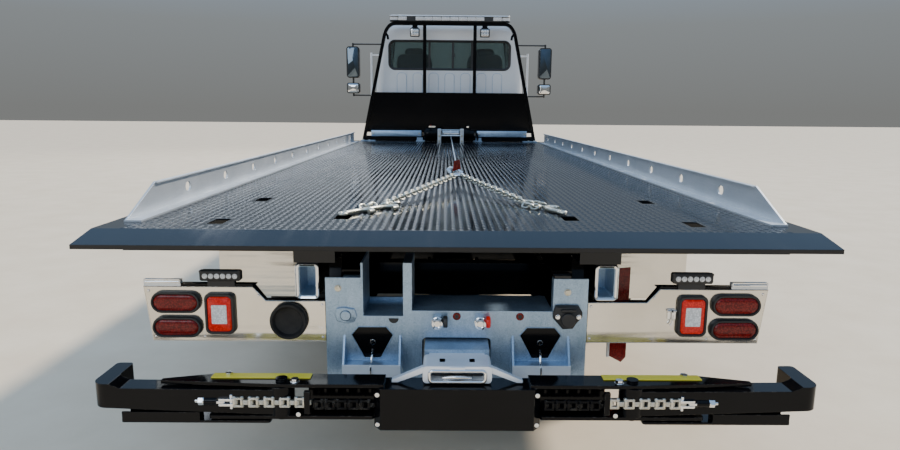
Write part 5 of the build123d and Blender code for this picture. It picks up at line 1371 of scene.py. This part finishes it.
def mirror_faces():
    """Flat glass in the tall heads, and bulged glass in the small ones."""
    shape = Shape("mirror_glass")
    bulge = [(wide, tall, tall * 0.16, s) for wide, tall, s in (
        (164, 130, 8151), (164, 130, 8146), (140, 108, 8140), (90, 70, 8136), (30, 22, 8134.6))]
    for x in (-1490, 1490):
        flat = [(164, 440, 26, 8151), (164, 440, 26, 8147), (158, 434, 24, 8146)]
        shape.use("mirror_glass").pads("s", (x, 2162), flat, 6)
        shape.use("chrome").pads("s", (x, 1770), bulge, 6)
    shape.made("mirror_faces", "chassis", slot="chrome")


# station and height of the windscreen's foot, and its lean
SCREEN_FOOT = (8090, 1720)
SCREEN_LEAN = 404 / 870


def windscreen_s(z):
    """Station of the windscreen's outer face at a height."""
    return SCREEN_FOOT[0] - (z - SCREEN_FOOT[1]) * SCREEN_LEAN


def windscreen_trim():
    """Rubber round the windscreen, and two wipers at rest on their pivots."""
    shape = Shape("black_plastic")
    middle_z, r = 2140, 60
    ring = []
    for x, z in ((900, 1810), (810, 2470), (-810, 2470), (-900, 1810)):
        for turn in (math.radians(step * 18) for step in range(6)):
            ring.append((x - math.copysign(r, x) * (1 - math.sin(turn)),
                         z - math.copysign(r, z - middle_z) * (1 - math.cos(turn))))
    ring.sort(key=lambda spot: math.atan2(spot[1] - middle_z, spot[0]))
    shape.pipe([(x, windscreen_s(z) + 1, z) for x, z in ring], 10, 10, True)
    for x in (-640, 40):
        arm = [(x, 1772, 14), (x + 40, 1800, 22), (x + 180, 1832, 24), (x + 310, 1850, 20)]
        shape.pipe([(u, windscreen_s(v) + out, v) for u, v, out in arm], 6, 8)
        blade = [(x + 50, 1826), (x + 310, 1850), (x + 570, 1874)]
        shape.pipe([(u, windscreen_s(v) + 12, v) for u, v in blade], 6, 6)
        shape.pipe([(u, windscreen_s(v) + 5, v - 2) for u, v in blade], 3.4, 4)
        shape.lathe("s", [(0.5, 8100), (20, 8099), (24, 8090), (24, 8060)], (x, 1766), 20)
    shape.made("windscreen_trim", "chassis")


# place across and height of the cab's side at its belt, and the lean of its windows
BELT = (1008, 1700)
WINDOW_LEAN = 0.142
# station and height of the door handle's dish
HANDLE = (7160, 1580)


def flank_x(z):
    """Outer face of the cab's side at a height over its belt."""
    return BELT[0] - (z - BELT[1]) * WINDOW_LEAN


def door_trim():
    """Window rubber, belt strip, handle in its dish and lock of each door."""
    corners = [(7100, 1762), (7880, 1762), (7645, 2363), (7100, 2363)]
    line = bent(corners[2:] + corners[:3], 46, 5)[1:-1]
    for name, side in SIDES:
        shape = Shape("black_plastic")
        shape.pipe([(side * (flank_x(z) - 4), s, z) for s, z in line], 9, 8)
        shape.pipe([(side * (flank_x(1745) - 1), s, 1745) for s in (7030, 7400, 7960)], 6, 8)
        shape.pads("x", HANDLE, sideways(side, (210, 74, 24, 1004), (210, 74, 24, 1012), (196, 60, 18, 1015)))
        grip = sideways(side, (172, 34, 14, 1031), (172, 34, 14, 1037), (160, 24, 10, 1040))
        shape.pads("x", (HANDLE[0], HANDLE[1] + 4), grip)
        lock = sideways(side, (0.5, 1012), (10, 1012), (10, 1017), (0.5, 1018))
        shape.use("chrome").lathe("x", lock, (HANDLE[0] - 108, HANDLE[1]), 16)
        shape.made("door_trim_" + name, "door_" + name)


def lamp_s(x, z):
    """Station of the headlamp's outer face at a place across and up."""
    plan = 9482 - (x - 680) * 6 / 80 if x < 760 else 9476 - (x - 760) * 70 / 170
    slope = 9485 - (z - 880) * 5 / 45 if z < 925 else 9480 - (z - 925) * 40 / 75
    return min(plan, slope)


def lamp_skin(shape, x_range, z_range, out, deep, columns, rows=6):
    """A slab that follows the headlamp's face."""
    rings = []
    for row in range(rows + 1):
        z = z_range[0] + (z_range[1] - z_range[0]) * row / rows
        xs = [x_range[0] + (x_range[1] - x_range[0]) * column / columns for column in range(columns + 1)]
        front = [(x, lamp_s(x, z) + out, z) for x in xs]
        rings.append(front + [(x, s - out - deep, z) for x, s, z in front[::-1]])
    shape.loops(rings, False)


def headlamp_lights():
    """Bright housing, two round lenses, amber corner and dark surround of each headlamp."""
    low, middle, high = 881, 938, 999
    shape = Shape("chrome")
    lamp_skin(shape, (681, 929), (low, high), -9, 50, 12)
    lamp_skin(shape.use("amber_lens"), (870, 927), (low + 6, high - 8), -2, 12, 6)
    for x, r in ((738, 44), (826, 40)):
        s = lamp_s(x, middle) - 22
        rows = [(r, s), (r, s + 14), (r * 0.92, s + 20), (r * 0.6, s + 25), (0.5, s + 27)]
        shape.use("clear_lens").lathe("s", rows, (x, middle), 32)
        shape.use("black_plastic").lathe("s", [(r + 5, s), (r + 5, s + 14), (r, s + 17), (r, s)], (x, middle), 32, True)
    edge = [(681, low), (800, low), (929, low), (929, 940), (929, high), (800, high), (681, high), (681, 940)]
    shape.use("black_plastic").pipe([(x, lamp_s(x, z) + 1, z) for x, z in edge], 6, 8, True)
    shape.mirrored()
    shape.made("headlamp_lights", "hood", replaces=("headlamps",), slot="clear_lens")


# place across and station of the hood's back corner, and the taper of its sides
HOOD_BACK = (950, 8099)
HOOD_TAPER = 0.1437


def hood_x(s):
    """Outer face of the hood's side at a station."""
    return HOOD_BACK[0] - (s - HOOD_BACK[1]) * HOOD_TAPER


def hood_details():
    """Dark screen behind the grille bars, bright surround, side louvres, rubber hold-downs and side markers."""
    shape = Shape("black_plastic")
    shape.block((-424, 424), (9398, 9403), (856, 1224))
    for column in range(-5, 6):
        shape.block((column * 78 - 3, column * 78 + 3), (9403, 9412), (862, 1218))
    shape.use("chrome").pipe([(x, 9466, z) for x, z in round_box(850, 368, 22, (0, 1040), 4)], 11, 8, True)
    for side in (-1, 1):
        shape.use("black_plastic")
        for row in range(4):
            shape.pipe([(side * hood_x(s), s, 1300 + row * 34) for s in (8330, 8480, 8590)], 7, 6)
        frame_line = [(8305, 1272), (8610, 1272), (8610, 1430), (8305, 1430)]
        shape.use("chrome").pipe([(side * (hood_x(s) + 1), s, z) for s, z in frame_line], 6, 6, True)
        shape.use("black_plastic").block(sorted((side * 944, side * 962)), (8110, 8158), (1240, 1272))
        shape.block(sorted((side * 950, side * 968)), (8060, 8150), (1250, 1262))
        marker = sideways(side, (96, 44, 12, 1178), (96, 44, 12, 1198), (80, 30, 10, 1203))
        shape.use("amber_lens").pads("x", (8560, 1090), marker, 4)
    shape.made("hood_details", "hood", slot="chrome")


# place across and height of the fog lamps
FOG_LAMP = (960, 588)


def bumper_details():
    """Rubber tread on the bumper's top, round fog lamps in pods on its swept corners, and the edge of its lip."""
    shape = Shape("black_plastic")
    shape.block((-520, 520), (9432, 9508), (740.2, 744))
    for row in range(6):
        shape.block((-510, 510), (9438 + row * 12, 9443 + row * 12), (743.5, 747))
    pod = [(66, 9400), (70, 9430), (72, 9474), (68, 9480), (62, 9480), (60, 9469), (0.5, 9468)]
    for spot in ((-FOG_LAMP[0], FOG_LAMP[1]), FOG_LAMP):
        shape.use("black_plastic").lathe("s", pod, spot, 40)
        shape.use("clear_lens").lathe("s", [(59, 9468.5), (59, 9473), (42, 9478), (0.5, 9480)], spot, 40)
    # rubber edging along the lower lip, following the sweep of the corners
    edge = [(-1184, 9324), (-821, 9508.5), (821, 9508.5), (1184, 9324)]
    shape.use("black_plastic").pipe([(x, s, 431) for x, s in edge], 9, 8)
    shape.made("bumper_details", "chassis")


# place across and height of the right fuel tank's axis
TANK = (790, 640)


def tank_trim():
    """Rolled end seams, straps, filler caps, strap bolts and raised treads of the steps."""
    shape = Shape("aluminium")
    for s in (6958, 7812):
        shape.lathe("s", [(262, s - 6), (270, s - 4), (270, s + 4), (262, s + 6)], TANK, 64, True)
    shape.use("chrome").lathe("z", [(46, 846), (46, 872), (54, 874), (54, 892), (48, 898), (0.5, 900)], (905, 7385), 28)
    for s in (7080, 7130, 7640, 7690):
        strap = [(268.4, s - 4), (270.4, s - 4), (270.4, s + 4), (268.4, s + 4)]
        shape.use("black_plastic").lathe("s", strap, TANK, 64, True)
    for z in (505, 785):
        for x in range(1014, 1165, 25):
            shape.use("galvanised").pipe([(x, 7066, z + 1), (x, 7704, z + 1)], 4, 6)
    shape.use("chain_steel")
    for s in (7105, 7665):
        shape.hex_bolt("x", 22, 10, (s, TANK[1]), 1070, 1)
        for z in (520, 748):
            shape.hex_bolt("x", 17, 8, (s, z), 1070, 1)
    shape.mirrored()
    shape.made("tank_trim", "chassis")


def box_trim():
    """Two paddle latches with their locks on each tool box door."""
    for name, side in SIDES:
        shape = Shape("chrome")
        for s in (3640, 4560):
            dish = sideways(side, (128, 104, 16, 1216), (128, 104, 16, 1224), (112, 88, 12, 1226))
            shape.use("chrome").pads("x", (s, 830), dish)
            paddle = sideways(side, (92, 42, 10, 1226), (92, 42, 10, 1231), (80, 30, 8, 1233))
            shape.use("black_plastic").pads("x", (s, 822), paddle)
            lock = sideways(side, (0.5, 1226), (9, 1226), (9, 1232), (0.5, 1233))
            shape.use("chrome").lathe("x", lock, (s, 862), 14)
        shape.made("box_trim_" + name, "box_door_" + name)


# height of the marker lamps on the deck's skirts, and their stations: red at the tail, amber forward
SKIRT_Z = 984
MARKERS = {330: "red_lens", 2450: "amber_lens", 4500: "amber_lens", 6450: "amber_lens"}


def side_markers():
    """Small marker lamps on the deck's side skirts."""
    shape = Shape("black_plastic")
    for side in (-1, 1):
        seat = sideways(side, (78, 30, 1294), (78, 30, 1299), (70, 22, 1301))
        dome = sideways(side, (64, 18, 1300), (62, 16, 1306), (50, 8, 1308))
        for s, finish in MARKERS.items():
            shape.use("black_plastic").slots("x", (s, SKIRT_Z), seat, 8)
            shape.use(finish).slots("x", (s, SKIRT_Z), dome, 8)
    shape.made("side_markers", "bed", slot="red_lens")


for build in (deck_tread, plate_fittings, plate_couplers, pocket_trim, tail_lights, strobes, bar_trim, flag_board,
              lift_chains, crossbar_trim, housing_rim, tube_rims, bridle_chains, winch_line, tyres, hub_parts,
              headboard_frame, roof_lights, winch_set, rear_window_trim, cab_trim, cab_seams, seat_shells, mirror_faces,
              windscreen_trim, door_trim, headlamp_lights, hood_details, bumper_details, tank_trim, box_trim,
              side_markers):
    build()


# Floor, lights and camera
def shown(name, data):
    """Puts an object in the scene."""
    made = bpy.data.objects.new(name, data)
    bpy.context.scene.collection.objects.link(made)
    return made


def floor():
    """A wide sheet a millimetre under the tyres."""
    mesh = bpy.data.meshes.new("floor")
    shape = bmesh.new()
    bmesh.ops.create_grid(shape, x_segments=2, y_segments=2, size=60)
    shape.to_mesh(mesh)
    shape.free()
    mesh.transform(Matrix.Translation((0, 0, -0.001)))
    mesh.materials.append(floor_finish())
    shown("floor", mesh)


def lamp(name, kind, spot, target, power, colour, size=None, angle=None):
    """A light aimed at a target; a panel has a size and a sun an angle."""
    data = bpy.data.lights.new(name, kind)
    data.energy = power
    data.color = colour
    if size:
        data.shape = "RECTANGLE"
        data.size, data.size_y = size
    if angle:
        data.angle = angle
    made = shown(name, data)
    made.location = spot
    made.rotation_euler = (Vector(target) - Vector(spot)).to_track_quat("-Z", "Y").to_euler()


# height in the sky, from the horizon at 0, and its colour there
SKY = [(0.0, (0.20, 0.205, 0.20)), (0.12, (0.24, 0.26, 0.27)), (0.4, (0.36, 0.54, 0.80)), (1.0, (0.42, 0.68, 1.10))]


def lights():
    """A low warm sun, two cool panels and a sky that is blue overhead."""
    lamp("key", "SUN", (9, 5.5, 10), (0, 0, 0.5), 4.4, (1, 0.94, 0.84), angle=math.radians(5))
    lamp("fill", "AREA", (-6, -13, 7), (0, -4, 0.8), 420, (0.86, 0.93, 1), (9, 5))
    lamp("back", "AREA", (-4, 14, 9), (0, 2, 1), 500, (0.9, 0.95, 1), (10, 5))
    world = bpy.data.worlds.new("sky")
    world.use_nodes = True
    tree = world.node_tree
    tree.nodes.clear()
    spot = tree.nodes.new("ShaderNodeTexCoord")
    rise = tree.nodes.new("ShaderNodeSeparateXYZ")
    ramp = tree.nodes.new("ShaderNodeValToRGB")
    glow = tree.nodes.new("ShaderNodeBackground")
    out = tree.nodes.new("ShaderNodeOutputWorld")
    elements = ramp.color_ramp.elements
    while len(elements) < len(SKY):
        elements.new(0.5)
    for element, (position, colour) in zip(elements, SKY):
        element.position = position
        element.color = (*colour, 1)
    tree.links.new(spot.outputs["Generated"], rise.inputs[0])
    tree.links.new(rise.outputs[2], ramp.inputs[0])
    tree.links.new(ramp.outputs[0], glow.inputs[0])
    tree.links.new(glow.outputs[0], out.inputs[0])
    bpy.context.scene.world = world


# across, station, height in millimetres; yaw, pitch and roll in degrees; focal length in pixels of a 900 wide picture
CAMERA = {"x": -46, "s": -2101, "z": 1453, "yaw": 0.45, "pitch": -10.18, "roll": 0.48, "focal": 643.4}
SENSOR = 36


def camera():
    """The photograph's own point of view."""
    data = bpy.data.cameras.new("camera")
    data.sensor_width = SENSOR
    data.lens = CAMERA["focal"] / 900 * SENSOR
    data.clip_end = 200
    yaw, pitch, roll = (math.radians(CAMERA[key]) for key in ("yaw", "pitch", "roll"))
    ahead = Vector((math.sin(yaw) * math.cos(pitch), math.cos(yaw) * math.cos(pitch), math.sin(pitch)))
    across = Vector((math.cos(yaw), -math.sin(yaw), 0))
    up = across.cross(ahead)
    right = across * math.cos(roll) + up * math.sin(roll)
    top = -across * math.sin(roll) + up * math.cos(roll)
    turn = Matrix((right, top, -ahead)).transposed()
    made = shown("camera", data)
    made.matrix_world = Matrix.Translation(place(CAMERA["x"], CAMERA["s"], CAMERA["z"])) @ turn.to_4x4()
    bpy.context.scene.camera = made


floor()
lights()
camera()
